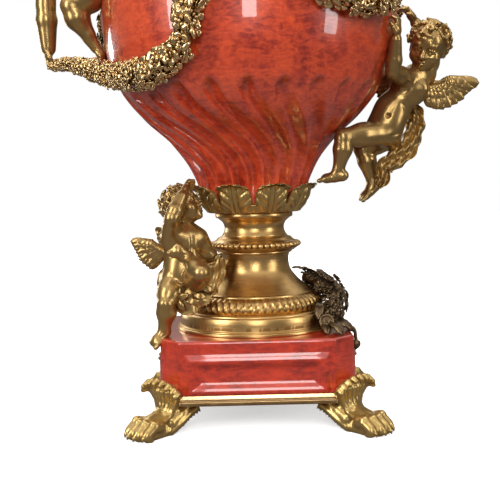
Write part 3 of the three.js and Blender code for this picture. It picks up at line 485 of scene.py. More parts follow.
class Value:
    """A number that a node gives out; arithmetic on it adds Math nodes."""

    def __init__(self, graph: Graph, socket: bpy.types.NodeSocket) -> None:
        """Wraps an output socket of a node in a graph."""
        self.graph = graph
        self.socket = socket

    def _math(self, operation: str, *values: Value | float) -> Value:
        """A Math node on the values."""
        return self.graph.add("ShaderNodeMath", {"operation": operation}, dict(enumerate(values)))

    def __add__(self, other: Value | float) -> Value:
        """self + other."""
        return self._math("ADD", self, other)

    __radd__ = __add__

    def __sub__(self, other: Value | float) -> Value:
        """self - other."""
        return self._math("SUBTRACT", self, other)

    def __rsub__(self, other: Value | float) -> Value:
        """other - self."""
        return self._math("SUBTRACT", other, self)

    def __mul__(self, other: Value | float) -> Value:
        """self * other."""
        return self._math("MULTIPLY", self, other)

    __rmul__ = __mul__

    def __truediv__(self, other: Value | float) -> Value:
        """self / other."""
        return self._math("DIVIDE", self, other)

    def __pow__(self, other: Value | float) -> Value:
        """self to a power."""
        return self._math("POWER", self, other)

    def rise(self, low: float, high: float, out_low: float = 0.0, out_high: float = 1.0) -> Value:
        """Eases from out_low, where self is low, to out_high, where it is high."""
        settings = {"interpolation_type": "SMOOTHSTEP"}
        return self.graph.add(
            "ShaderNodeMapRange", settings, {0: self, 1: low, 2: high, 3: out_low, 4: out_high}
        )

    def clamp(self) -> Value:
        """self kept between 0 and 1."""
        return self.graph.add("ShaderNodeClamp", {}, {0: self})


class Graph:
    """The node tree of one material."""

    def __init__(self, name: str) -> None:
        """Makes an empty material of that name."""
        self.material = bpy.data.materials.new(name)
        self.material.use_nodes = True
        self.tree = self.material.node_tree
        self.tree.nodes.clear()

    def add(
        self, kind: str, settings: dict[str, object] | None = None,
        inputs: dict[int | str, object] | None = None, output: int | str = 0,
    ) -> Value:
        """Adds any node.

        Args:
            kind: The node's type.
            settings: Properties, set first. A ramp's stops are under "stops".
            inputs: Values or links by socket.
            output: Which output to give back.

        Returns:
            The wanted output.
        """
        node = self.tree.nodes.new(kind)
        for key, value in (settings or {}).items():
            if key == "stops":
                self._set_stops(node.color_ramp, value)
            else:
                setattr(node, key, value)
        for key, value in (inputs or {}).items():
            socket = node.inputs[key]
            if isinstance(value, Value):
                self.tree.links.new(value.socket, socket)
            else:
                socket.default_value = value
        return Value(self, node.outputs[output] if node.outputs else None)

    @staticmethod
    def _set_stops(ramp: bpy.types.ColorRamp, stops: Sequence[tuple[float, Vec]]) -> None:
        """Gives a ramp its stops of (place, colour)."""
        while len(ramp.elements) > len(stops):
            ramp.elements.remove(ramp.elements[-1])
        while len(ramp.elements) < len(stops):
            ramp.elements.new(1.0)
        for element, (place, colour) in zip(ramp.elements, stops):
            element.position = place
            element.color = (*colour, 1.0)

    def mix(self, share: Value | float, low: Value | Vec, high: Value | Vec) -> Value:
        """A colour between low and high."""
        values = [v if isinstance(v, Value) else (*v, 1.0) for v in (low, high)]
        return self.add("ShaderNodeMix", {"data_type": "RGBA"}, {0: share, 6: values[0], 7: values[1]}, 2)

    def place(self, scale: Vec = (1, 1, 1)) -> Value:
        """Object coordinates in metres, scaled along x, y and z."""
        where = self.add("ShaderNodeTexCoord", output="Object")
        return self.add("ShaderNodeVectorMath", {"operation": "MULTIPLY"}, {0: where, 1: tuple(scale)})

    def noise(
        self, vector: Value, scale: float, detail: float = 3.0, rough: float = 0.5, warp: float = 0.0
    ) -> Value:
        """Cloudy noise from 0 to 1."""
        inputs = {
            "Vector": vector, "Scale": scale, "Detail": detail, "Roughness": rough, "Distortion": warp
        }
        return self.add("ShaderNodeTexNoise", {"noise_dimensions": "3D"}, inputs)

    def hollow(self) -> Value:
        """The mesh's hollow attribute, painted shade and highlight from -1 on ridges to 1 in hollows."""
        return self.add("ShaderNodeAttribute", {"attribute_name": "hollow"}, output="Fac")

    def bump(
        self, height: Value, distance: float, strength: float = 1.0, under: Value | None = None
    ) -> Value:
        """A normal bent by a height."""
        inputs: dict[int | str, object] = {"Height": height, "Distance": distance, "Strength": strength}
        if under:
            inputs["Normal"] = under
        return self.add("ShaderNodeBump", {}, inputs)

    def finish(self, inputs: dict[int | str, object]) -> bpy.types.Material:
        """Ends the tree in a Principled shader with these sockets."""
        shader = self.add("ShaderNodeBsdfPrincipled", {}, inputs)
        self.add("ShaderNodeOutputMaterial", {}, {"Surface": shader})
        return self.material


@dataclass(frozen=True)
class Finish:
    """How a piece is finished; one material is made for each finish and reused."""

    name: str
    slot: Slot

    def build(self) -> bpy.types.Material:
        """Makes the material."""
        raise NotImplementedError

    def material(self) -> bpy.types.Material:
        """The finish's material, made once."""
        return bpy.data.materials.get(self.name) or self.build()


@dataclass(frozen=True)
class Glaze(Finish):
    """Red glaze with darker streaks under a thick clear coat."""

    bright: tuple[float, float, float] = (0.66, 0.078, 0.020)
    middle: tuple[float, float, float] = (0.33, 0.020, 0.009)
    deep: tuple[float, float, float] = (0.14, 0.008, 0.005)

    def build(self) -> bpy.types.Material:
        """Clouds, flattened wavy grain and specks mix three reds under the coat."""
        g = Graph(self.name)
        clouds = g.noise(g.place((1, 1, 0.8)), 26, 4, 0.6, 0.8)
        grain = g.noise(g.place((1, 1, 2.8)), 62, 4, 0.6, 1.6).rise(0.37, 0.63)
        specks = g.noise(g.place((1, 1, 0.7)), 190, 4, 0.6, 1.2)
        amount = (clouds.rise(0.36, 0.64) * 0.40 + grain * 0.40 + specks.rise(0.38, 0.62) * 0.22).clamp()
        red = g.mix(amount, self.middle, self.bright)
        dark = (1.0 - clouds.rise(0.36, 0.60)) * (1.0 - grain) * specks.rise(0.40, 0.60, 1.0, 0.45)
        red = g.mix((dark * 0.6).clamp(), red, self.deep)
        waves = g.bump(g.noise(g.place(), 30, 2), 0.0012, 0.10)
        return g.finish(
            {
                "Base Color": red, "Roughness": 0.32, "IOR": 1.5, "Coat Weight": 1.0,
                "Coat Roughness": 0.035, "Coat IOR": 1.55, "Normal": waves,
            }
        )


@dataclass(frozen=True)
class SpunBrass(Finish):
    """Polished brass with fine lines round the axis, with patches of brown tarnish and painted brown shade
    in its hollows.
    """

    gold: tuple[float, float, float] = (0.66, 0.42, 0.16)
    brown: tuple[float, float, float] = (0.24, 0.12, 0.035)

    def build(self) -> bpy.types.Material:
        """Lines come from noise squeezed along height and radius; a film of brown tarnish lies in patches,
        and painted shade browns the hollows.
        """
        g = Graph(self.name)
        where = g.add("ShaderNodeTexCoord", output="Object")
        parts = {k: g.add("ShaderNodeSeparateXYZ", {}, {0: where}, k) for k in range(3)}
        radius = (parts[0] * parts[0] + parts[1] * parts[1]) ** 0.5
        lines = g.add("ShaderNodeCombineXYZ", {}, {0: radius * 2600, 1: parts[2] * 2600, 2: parts[0] * 14})
        brushed = g.noise(lines, 1.0, 2, 0.6)
        film = g.noise(g.place((1, 1, 2.5)), 34, 4, 0.6, 0.8)
        # Painted shade: the hollow attribute browns the hollows, along with the random patches of tarnish
        hollow = g.hollow().rise(0.05, 0.6)
        tarnish_and_shade = (film.rise(0.45, 0.8) * 0.35 + hollow * 0.9).clamp()
        return g.finish(
            {
                "Base Color": g.mix(tarnish_and_shade, self.gold, self.brown), "Metallic": 1.0,
                "Roughness": (0.22 + brushed * 0.14 + tarnish_and_shade * 0.20).clamp(),
                "Normal": g.bump(brushed, 0.00008, 0.6),
            }
        )


@dataclass(frozen=True)
class CastBronze(Finish):
    """Cast bronze: patinated on its planes, lightened on its ridges by rubbing and painted highlight, and
    darkened in its hollows by painted shade.
    """

    # bright is the colour of rubbed ridges with painted highlight; dark is the painted shade in hollows
    bright: tuple[float, float, float] = (0.78, 0.53, 0.23)
    plane: tuple[float, float, float] = (0.42, 0.255, 0.095)
    dark: tuple[float, float, float] = (0.050, 0.030, 0.013)
    gloss: float = 0.30
    painted_shade_from: float = 0.0
    mottling: float = 0.5

    def build(self) -> bpy.types.Material:
        """The hollow attribute, which is painted shade and highlight, and two noises choose between bright,
        plane and dark.
        """
        g = Graph(self.name)
        hollow = g.hollow()
        patches = g.noise(g.place(), 55, 4, 0.6, 0.5)
        grain = g.noise(g.place(), 900, 3, 0.6)
        # Rubbing and painted highlight: ridges and random patches lighten towards bright
        rubbed_and_highlit = (0.0 - hollow + (patches - 0.5) * self.mottling).rise(-0.10, 0.45)
        # Painted shade: hollows darken towards dark, and the metal dulls there
        sunk = (hollow + (patches - 0.5) * 0.35).rise(self.painted_shade_from, self.painted_shade_from + 0.42)
        colour = g.mix(rubbed_and_highlit, self.plane, self.bright)
        colour = g.mix(sunk, colour, self.dark)
        rough = (self.gloss + sunk * 0.32 + (patches - 0.5) * 0.16 - rubbed_and_highlit * 0.08 + (grain - 0.5) * 0.08)
        return g.finish(
            {
                "Base Color": colour, "Metallic": (1.0 - sunk * 0.45).clamp(), "Roughness": rough.clamp(),
                "Normal": g.bump(grain, 0.00012, 0.35, g.bump(patches, 0.0005, 0.25)),
            }
        )


@dataclass(frozen=True)
class Plaster(Finish):
    """The pale matt floor."""

    def build(self) -> bpy.types.Material:
        """White with a trace of unevenness."""
        g = Graph(self.name)
        cloud = g.noise(g.place(), 2.0, 2)
        pale = g.mix(cloud, (0.88, 0.88, 0.88), (0.92, 0.92, 0.92))
        soft = {"Base Color": pale, "Roughness": 0.9, "Specular IOR Level": 0.0}
        glow = {"Emission Color": (1.0, 1.0, 1.0, 1.0), "Emission Strength": 0.55}
        seen = g.add("ShaderNodeBsdfPrincipled", {}, {**soft, **glow})
        # Reflections see a painted pool of light on the floor: brighter near the urn, dimmer further out
        away = g.add(
            "ShaderNodeVectorMath", {"operation": "LENGTH"}, {0: g.place()}, "Value"
        ).rise(0.22, 0.65)
        reflected_light_pool = g.mix(away, (0.20, 0.185, 0.185), (0.10, 0.095, 0.095))
        reflected = g.add("ShaderNodeBsdfPrincipled", {}, {**soft, "Base Color": reflected_light_pool})
        camera = g.add("ShaderNodeLightPath", output="Is Camera Ray")
        both = g.add("ShaderNodeMixShader", {}, {0: camera, 1: reflected, 2: seen})
        g.add("ShaderNodeOutputMaterial", {}, {"Surface": both})
        return g.material


GLAZE = Glaze("red_glaze", Slot.PORCELAIN)
# A darker copy of the same glaze, painted shade so that the plinth's lit front reads as dark as the body
PLINTH_SHADED_GLAZE = Glaze(
    "red_glaze_plinth_shaded", Slot.PORCELAIN, bright=(0.52, 0.034, 0.007), middle=(0.27, 0.011, 0.004),
    deep=(0.12, 0.007, 0.004)
)
SPUN = SpunBrass("spun_brass", Slot.POLISHED)
GILT = CastBronze("antique_gilt", Slot.GILT)
OLD_GILT = CastBronze(
    "old_gilt", Slot.GILT, bright=(0.70, 0.48, 0.22), plane=(0.34, 0.215, 0.095),
    dark=(0.055, 0.035, 0.018), painted_shade_from=-0.06
)
LEAFAGE = CastBronze(
    "garland_gilt", Slot.GILT, bright=(0.80, 0.57, 0.28), plane=(0.38, 0.24, 0.10),
    dark=(0.035, 0.021, 0.010), painted_shade_from=0.16
)
AGED = CastBronze(
    "aged_bronze", Slot.AGED, bright=(0.78, 0.52, 0.22), plane=(0.36, 0.20, 0.065),
    dark=(0.045, 0.024, 0.010), gloss=0.24, mottling=0.9,
)
DARK = CastBronze(
    "dark_bronze", Slot.DARK, bright=(0.46, 0.37, 0.25), plane=(0.17, 0.12, 0.07),
    dark=(0.035, 0.024, 0.014), gloss=0.36,
)


@dataclass
class UrnBody:
    """The hollow porcelain body, its flutes, and the radius that its neighbours lie against."""

    bottom: float = node_base("urn_body")
    top: float = node_top("urn_body")
    foot_radius: float = 44.0
    belly_radius: float = 144.0
    belly_rise: float = 182.0
    shoulder_rise: float = 105.0
    wall: float = 6.0
    flutes: int = 24
    flute_depth: float = 7.4
    flute_rise: float = 116.0
    flute_twist: float = math.radians(31)
    flute_phase: float = math.radians(-5.25)
    outline: tuple[tuple[float, float], ...] = (
        (0, 0), (0.09, 0.085), (0.165, 0.135), (0.258, 0.225), (0.368, 0.385), (0.478, 0.605),
        (0.588, 0.775), (0.67, 0.86), (0.807, 0.953), (1, 1),
    )

    def radius(self, height: np.ndarray) -> np.ndarray:
        """Radius without flutes: a smooth curve up to the belly, a quarter ellipse above it.

        Args:
            height: Heights above the body's underside.

        Returns:
            The radius at each height.
        """
        table = spline(self.outline, 8)
        low = np.interp(np.asarray(height) / self.belly_rise, table[:, 0], table[:, 1])
        share = np.clip((height - self.belly_rise) / self.shoulder_rise, 0, 0.999)
        lower = self.foot_radius + (self.belly_radius - self.foot_radius) * low
        return np.where(height < self.belly_rise, lower, self.belly_radius * np.sqrt(1 - share**2))

    def radius_at(self, z: np.ndarray) -> np.ndarray:
        """The plain radius at a height above the ground."""
        return self.radius(np.asarray(z) - self.bottom)

    def flute(self, angle: np.ndarray, height: np.ndarray) -> np.ndarray:
        """How deep a flute is: a hollow with one sharp and one soft side, round at its top.

        Across one pitch the share u runs from 0 to 1. The hollow takes the first w of it and is
        D sin(pi (u / w)^0.62)^0.7; what is left is the land between two flutes. Near the top
        the hollow ends in a half circle across the flute.

        Args:
            angle: Angle before the twist.
            height: Height above the underside.

        Returns:
            Depth in millimetres.
        """
        pitch = 2 * np.pi / self.flutes
        u = np.mod(angle, pitch) / pitch
        width = 0.54 + 0.30 * smoothstep(self.flute_rise - 8, 45, height)
        share = np.clip(u / width, 0, 1)
        across = np.maximum(np.sin(np.pi * share**0.62), 0) ** 0.7
        crown = self.flute_rise - 10 * (2 * share - 1) ** 2
        fade = smoothstep(0, 6, crown - height) ** 0.75 * smoothstep(4, 26, height)
        head = 1 + 0.25 * np.exp(-(((crown - height - 9) / 9) ** 2))
        return self.flute_depth * across * fade * head

    def build(self) -> bpy.types.Object:
        """The outside with its flutes, and the inside wall behind it."""
        levels = np.concatenate(
            [
                np.linspace(0, 90, 44, endpoint=False),
                np.linspace(90, self.flute_rise + 6, 32, endpoint=False),
                np.linspace(self.flute_rise + 6, self.top - self.bottom, 28),
            ]
        )
        angle = np.linspace(0, 2 * np.pi, self.flutes * 14, endpoint=False)[:, None]
        height = levels[None, :]
        turn = self.flute_twist * smoothstep(8, self.flute_rise - 30, self.flute_rise - height)
        reach = self.radius(height) - self.flute(angle, height)
        where = angle + turn + self.flute_phase
        points = np.stack(
            [reach * np.cos(where), reach * np.sin(where), height + self.bottom + 0 * where], -1
        )
        inner = np.linspace(self.top - self.bottom, 8, 14)
        behind = self.wall + self.flute_depth * smoothstep(
            self.flute_rise + 12, self.flute_rise - 12, inner
        )
        bore = self.radius(inner) - behind
        inside = np.stack([bore * np.cos(angle), bore * np.sin(angle), inner + self.bottom + 0 * angle], -1)
        ground, floor = self.bottom, self.bottom + inner[-1]
        ends = [np.broadcast_to([0.0, 0.0, z], (len(angle), 1, 3)) for z in (ground, floor)]
        body = Patch.grid(np.concatenate([ends[0], points, inside, ends[1]], axis=1), closed_u=True)
        return make_piece("urn_body_glazed", body, GLAZE, ["urn_body"], merge=True, crease=60)


@dataclass
class TurnedWork:
    """The spun and chased brass of the foot, and the neck, rim and lid above the body."""

    columns: int = 120
    band_radius: float = 79.0
    torus_radius: float = 66.0
    waist_radius: float = 33.5
    knop_radius: float = 45.5
    throat_radius: float = 29.5
    flange_radius: float = 38.5
    beads: int = 46
    torus_leaves: int = 60
    finial_scales: int = 8

    def foot(self) -> bpy.types.Object:
        """Band, leaf-moulded torus and flare on one spun profile."""
        base, top = node_span("foot")
        torus_foot, torus_top = base + 19.3, base + 34.5
        middle = (torus_foot + torus_top) / 2
        r, t, w = self.band_radius, self.torus_radius, self.waist_radius
        profile = closed_profile(
            [(0, base), (r - 0.6, base)],
            [(r - 0.6, base), (r, base + 0.6), (r, base + 2.4), (r - 0.4, base + 3.0)],
            [(r - 1.4, base + 3.4), (r - 1.6, base + 4.2), (r - 3.0, base + 4.8), (r - 3.2, base + 5.6)],
            [(r - 3.2, base + 5.6), (r - 3.4, base + 15.2)],
            [(r - 3.4, base + 15.2), (r - 4.2, base + 16.4), (r - 6.8, base + 17.0)],
            [(r - 6.8, base + 17.0), (r - 7.6, base + 18.4), (r - 9.6, base + 18.9), (t - 1.5, torus_foot)],
            [
                (t - 1.5, torus_foot), (t + 0.2, torus_foot + 3.0), (t - 0.4, middle),
                (t - 3.4, torus_top - 3.4), (t - 8.0, torus_top - 1.0),
            ],
            [(t - 8.0, torus_top - 1.0), (t - 8.6, torus_top + 0.6), (t - 10.2, torus_top + 1.0)],
            [
                (t - 10.2, torus_top + 1.0), (t - 15.4, torus_top + 5.4), (w + 10.6, torus_top + 11.0),
                (w + 3.0, torus_top + 20.0), (w + 0.4, torus_top + 27.0), (w, torus_top + 34.0),
                (w + 1.2, torus_top + 38.6),
            ],
            [(w + 1.2, torus_top + 38.6), (w + 3.4, torus_top + 39.4), (w + 3.5, top)],
            [(w + 3.5, top), (0, top)],
            steps=5,
        )

        def leaves(angle: np.ndarray, radius: np.ndarray, height: np.ndarray) -> np.ndarray:
            """Slanted leaves on the torus: a ridged wave of the angle plus a share of the height."""
            slant = angle * self.torus_leaves + (height - middle) * 0.24
            ridge = np.abs(np.sin(slant / 2)) ** 0.7
            vein = 0.45 * np.cos(slant * 2)
            on = smoothstep(torus_foot + 0.2, torus_foot + 2.2, height)
            on = on * smoothstep(torus_top - 0.4, torus_top - 2.4, height)
            return radius + on * (2.3 * ridge + vein - 1.9)

        patch = lathe(profile, self.torus_leaves * 5, leaves)
        return make_piece("spun_foot", patch, SPUN, ["foot"], merge=True, rounds=3, reach=0.35, crease=50)

    def knop(self) -> bpy.types.Object:
        """The knop with its ring of beads."""
        base, top = node_span("beaded_knop")
        k, w = self.knop_radius, self.waist_radius
        level = base + 6.6
        profile = closed_profile(
            [(0, base), (w + 4.6, base)],
            [(w + 4.6, base), (w + 6.4, base + 0.8), (k - 4.2, base + 2.0), (k - 2.4, base + 3.2)],
            [(k - 2.4, base + 3.2), (k - 2.0, base + 5.0), (k - 2.0, level), (k - 2.4, base + 9.4)],
            [(k - 2.4, base + 9.4), (k - 5.0, base + 10.0), (w + 5.0, base + 11.2), (w + 3.0, base + 13.4)],
            [
                (w + 3.0, base + 13.4), (self.throat_radius + 3.4, base + 14.8),
                (self.throat_radius + 3.0, top),
            ],
            [(self.throat_radius + 3.0, top), (0, top)],
            steps=6,
        )

        def beads(angle: np.ndarray, radius: np.ndarray, height: np.ndarray) -> np.ndarray:
            """Half balls side by side: sqrt(1 - s^2 - t^2) of the shares round and up."""
            s = (np.mod(angle * self.beads / (2 * np.pi), 1) - 0.5) * 2.15
            t = (height - level) / 2.9
            return radius + 2.8 * np.sqrt(np.maximum(1 - s * s - t * t, 0))

        patch = lathe(profile, self.beads * 6, beads)
        return make_piece(
            "beaded_ring", patch, SPUN, ["beaded_knop"], merge=True, rounds=3, reach=0.35, crease=60
        )

    def throat(self) -> bpy.types.Object:
        """The concave throat and its flange."""
        base, top = node_span("throat")
        n, f = self.throat_radius, self.flange_radius
        profile = closed_profile(
            [(0, base), (n + 2.5, base)],
            [
                (n + 2.5, base), (n + 0.6, base + 4.0), (n + 0.2, base + 8.0), (n + 2.0, base + 12.6),
                (n + 5.6, base + 15.8),
            ],
            [(n + 5.6, base + 15.8), (n + 6.4, base + 16.6), (f - 1.0, base + 17.2)],
            [(f - 1.0, base + 17.2), (f, base + 18.4), (f, top - 1.0), (f - 0.8, top)],
            [(f - 0.8, top), (0, top)],
            steps=8,
        )
        patch = lathe(profile, self.columns)
        return make_piece("spun_throat", patch, SPUN, ["throat"], merge=True, crease=50)

    def collar(self) -> bpy.types.Object:
        """Bronze collar where the neck stands on the shoulder."""
        base, top = node_span("neck_collar")
        outer = 60.0
        profile = closed_profile(
            [(46, base), (outer - 4, base)],
            [(outer - 4, base), (outer - 0.4, base + 1.2), (outer, base + 3.4), (outer - 1.0, base + 5.2)],
            [
                (outer - 1.0, base + 5.2), (outer - 4.2, base + 5.8), (outer - 7.4, base + 7.4),
                (outer - 8.8, top),
            ],
            [(outer - 8.8, top), (46, top)],
            [(46, top), (46, base)],
            steps=8,
        )
        patch = lathe(profile, self.columns)
        return make_piece("neck_collar_brass", patch, SPUN, ["neck_collar"], merge=True, crease=50)

    def neck(self) -> bpy.types.Object:
        """Concave porcelain neck, hollow."""
        base, top = node_span("neck")
        wide, waist, lip, wall = 49.5, 42.0, 53.0, 6.0
        share = np.linspace(0, 1, 36)
        flare = np.where(share < 0.4, ((0.4 - share) / 0.4).clip(0) ** 1.6 * (wide - waist), 0)
        rise = np.where(share > 0.4, ((share - 0.4) / 0.6).clip(0) ** 1.8 * (lip - waist), 0)
        radius = waist + flare + rise - 0.4
        height = base + (top - base) * share
        outer = np.stack([radius, height], -1)
        inner = np.stack([radius[::-1] - wall + 0.4, height[::-1]], -1)
        profile = np.concatenate([outer, inner, outer[:1]])
        patch = lathe(profile, self.columns)
        return make_piece("neck_glazed", patch, GLAZE, ["neck"], merge=True, crease=50)

    def rim(self) -> bpy.types.Object:
        """Bronze rim with a rope of small beads."""
        base, top = node_span("rim")
        outer, bore = 58.0, 47.0
        profile = closed_profile(
            [(bore, base), (outer - 4.4, base)],
            [(outer - 4.4, base), (outer - 1.6, base + 1.4), (outer - 1.4, base + 2.4)],
            [(outer - 1.4, base + 2.4), (outer - 1.2, base + 4.5), (outer - 1.4, base + 6.6)],
            [(outer - 1.4, base + 6.6), (outer - 3.2, base + 7.2), (outer - 3.8, top)],
            [(outer - 3.8, top), (bore, top)], [(bore, top), (bore, base)], steps=8,
        )

        def rope(angle: np.ndarray, radius: np.ndarray, height: np.ndarray) -> np.ndarray:
            """A slanted wave between the two fillets."""
            on = smoothstep(base + 2.2, base + 3.2, height) * smoothstep(base + 6.8, base + 5.8, height)
            return radius + on * (radius > outer - 3) * np.abs(np.cos(angle * 40 + (height - base) * 0.5))

        patch = lathe(profile, self.columns * 2, rope)
        return make_piece("rope_rim", patch, SPUN, ["rim"], merge=True, reach=0.35, crease=50)

    def lid(self) -> bpy.types.Object:
        """Domed porcelain lid, hollow underneath."""
        base, top = node_span("lid")
        radius, wall, seat = 53.0, 5.0, 10.4
        share = np.sin(np.linspace(0, np.pi / 2, 40)) ** 1.2
        dome = np.stack([radius * (1 - share**2.4) ** 0.62, base + (top - base) * share], -1)
        dome[:, 0] = np.maximum(dome[:, 0] - 0.3, 0)
        dome = dome[dome[:, 0] > seat]
        cap = np.array([[seat, top], [0, top]])
        hollow = np.stack(
            [(radius - wall) * (1 - share**2.4) ** 0.62, base + (top - base - wall) * share], -1
        )[::-1]
        profile = np.concatenate([dome, cap, hollow, dome[:1]])
        patch = lathe(profile, self.columns)
        return make_piece("lid_glazed", patch, GLAZE, ["lid"], merge=True, crease=50)

    def finial(self) -> bpy.types.Object:
        """A pine cone on a turned seat; its scales overlap like tiles."""
        base, top = node_span("finial")
        r, seat = 13.0, 12.0
        span = top - base - seat
        share = np.linspace(0, 1, 66)
        cone = r * 1.08 * np.sin(np.pi * (0.20 + 0.80 * share) ** 0.8) ** 0.75
        stem = spline(
            [(0, 0), (r, 0.3), (r + 1.6, 2.2), (r * 0.6, 4.4), (r * 0.42, 7.4), (r * 0.7, 11.4)], 8
        )
        outline = np.concatenate([stem, np.stack([cone, seat + span * share], -1)])
        outline[-1, 0] = 0
        profile = outline + np.array([0, base])

        def scales(angle: np.ndarray, radius: np.ndarray, height: np.ndarray) -> np.ndarray:
            """Rows of rounded scales, each row half a scale on from the one below."""
            row = (height - base - seat) / span * 8
            shift = np.floor(row) % 2 * 0.5
            round_ = np.mod(angle * self.finial_scales * 1.25 / (2 * np.pi) + shift, 1) - 0.5
            up = np.mod(row, 1)
            lump = np.sqrt(np.maximum(1 - (2 * round_) ** 2 - (up - 0.1) ** 2 * 0.9, 0))
            return radius + np.where(row > 0, 1.6 * lump - 1.2, 0) * smoothstep(8.0, 7.0, row)

        patch = lathe(profile, 112, scales)
        return make_piece("pine_cone_finial", patch, GILT, ["finial"], merge=True, crease=70)

    def build(self) -> None:
        """All the turned pieces."""
        for make in (
            self.foot, self.knop, self.throat, self.collar, self.neck, self.rim, self.lid, self.finial
        ):
            make()


@dataclass
class Plinth:
    """The canted porcelain plinth with its sunk panels, and the bronze frame under it."""

    half: float = 90.0
    cant: float = 19.5
    panel_half: float = 60.5
    panel_rise: float = 14.0
    panel_middle: float = 17.8
    moulding: float = 7.0
    proud: float = 2.0
    depth: float = 1.4
    edge: float = 2.4

    def outline(self) -> tuple[np.ndarray, np.ndarray]:
        """Points round the canted square, closest where a panel's moulding turns.

        Returns:
            Points (x, y), and the place along each long side, or a large number on a cant.
        """
        near = self.half - self.cant
        dense = np.linspace(self.panel_half - 12, near, 22)
        side = np.concatenate([-dense[::-1], np.linspace(-dense[0], dense[0], 14)[1:-1], dense])
        cant = np.linspace(0, self.cant, 9)[1:-1]
        long = np.stack([np.full(len(side), self.half), side], -1)
        quarter = np.concatenate([long, np.stack([self.half - cant, near + cant], -1)])
        place = np.concatenate([side, np.full(len(cant), NO_PANEL)])
        turns = [np.array([[c, s], [-s, c]]) for c, s in ((1, 0), (0, 1), (-1, 0), (0, -1))]
        return np.concatenate([quarter @ turn for turn in turns]), np.tile(place, 4)

    def plinth(self) -> bpy.types.Object:
        """The block: a cosine moulding follows each panel's edge, and inside it the wall sinks."""
        base, top = node_span("plinth")
        xy, place = self.outline()
        e = self.edge
        arc = np.linspace(0, np.pi / 2, 8)
        lower = np.stack([-e * 0.5 * (1 - np.sin(arc)), base + e * 0.5 * (1 - np.cos(arc))], -1)
        upper = np.stack([-e * (1 - np.cos(arc)), top - e + e * np.sin(arc)], -1)
        wall = np.linspace(base + e, top - e - 0.4, 58)
        levels = np.concatenate([lower, np.stack([0 * wall, wall], -1), upper])
        away = np.abs(levels[None, :, 1] - base - self.panel_middle)
        inside = np.minimum(self.panel_half - np.abs(place)[:, None], self.panel_rise - away)
        sunk = self.depth * smoothstep(3, 9, inside)
        roll = self.proud * (0.5 + 0.5 * np.cos(np.pi * np.clip(inside / self.moulding, -1, 1)))
        reach = 1 + (levels[None, :, 0] - sunk + roll) / self.half
        points = np.concatenate(
            [xy[:, None, :] * reach[..., None], np.broadcast_to(levels[None, :, 1:], (*reach.shape, 1))], -1
        )
        centre_low, centre_high = np.array([0, 0, base]), np.array([0, 0, top])
        shrinking = (0.66, 0.33, 0.0)
        bottom = [points[:, :1] * s + (1 - s) * centre_low for s in shrinking[::-1]]
        lid = [points[:, -1:] * s + (1 - s) * centre_high for s in shrinking]
        grid = np.concatenate([*bottom, points, *lid], axis=1)
        return make_piece(
            "plinth_glazed", Patch.grid(grid, closed_u=True), PLINTH_SHADED_GLAZE, ["plinth"], merge=True,
            crease=60,
        )

    def frame(self) -> bpy.types.Object:
        """The bronze frame: a stepped moulding run round the canted square."""
        base, top = node_span("base_frame")
        xy, _ = self.outline()
        run = closed_profile(
            [(0.9, base), (2.3, base + 0.6)],
            [(2.3, base + 0.6), (2.5, base + 1.4), (2.5, base + 3.6), (2.2, base + 4.2)],
            [(2.2, base + 4.2), (1.4, base + 4.6), (1.0, base + 5.4), (1.3, base + 6.2), (0.4, top)],
            steps=4,
        )
        reach = 1 + run[None, :, 0] / self.half
        points = np.concatenate(
            [xy[:, None, :] * reach[..., None], np.broadcast_to(run[None, :, 1:], (len(xy), len(run), 1))],
            -1
        )
        under = points[:, :1] * np.array([0, 0, 1])
        over = points[:, -1:] * np.array([0, 0, 1])
        grid = np.concatenate([under, points, over], axis=1)
        return make_piece(
            "base_frame_gilt", Patch.grid(grid, closed_u=True), OLD_GILT, ["base_frame"], merge=True,
            crease=40,
        )

    def build(self) -> None:
        """Plinth and frame."""
        self.plinth()
        self.frame()


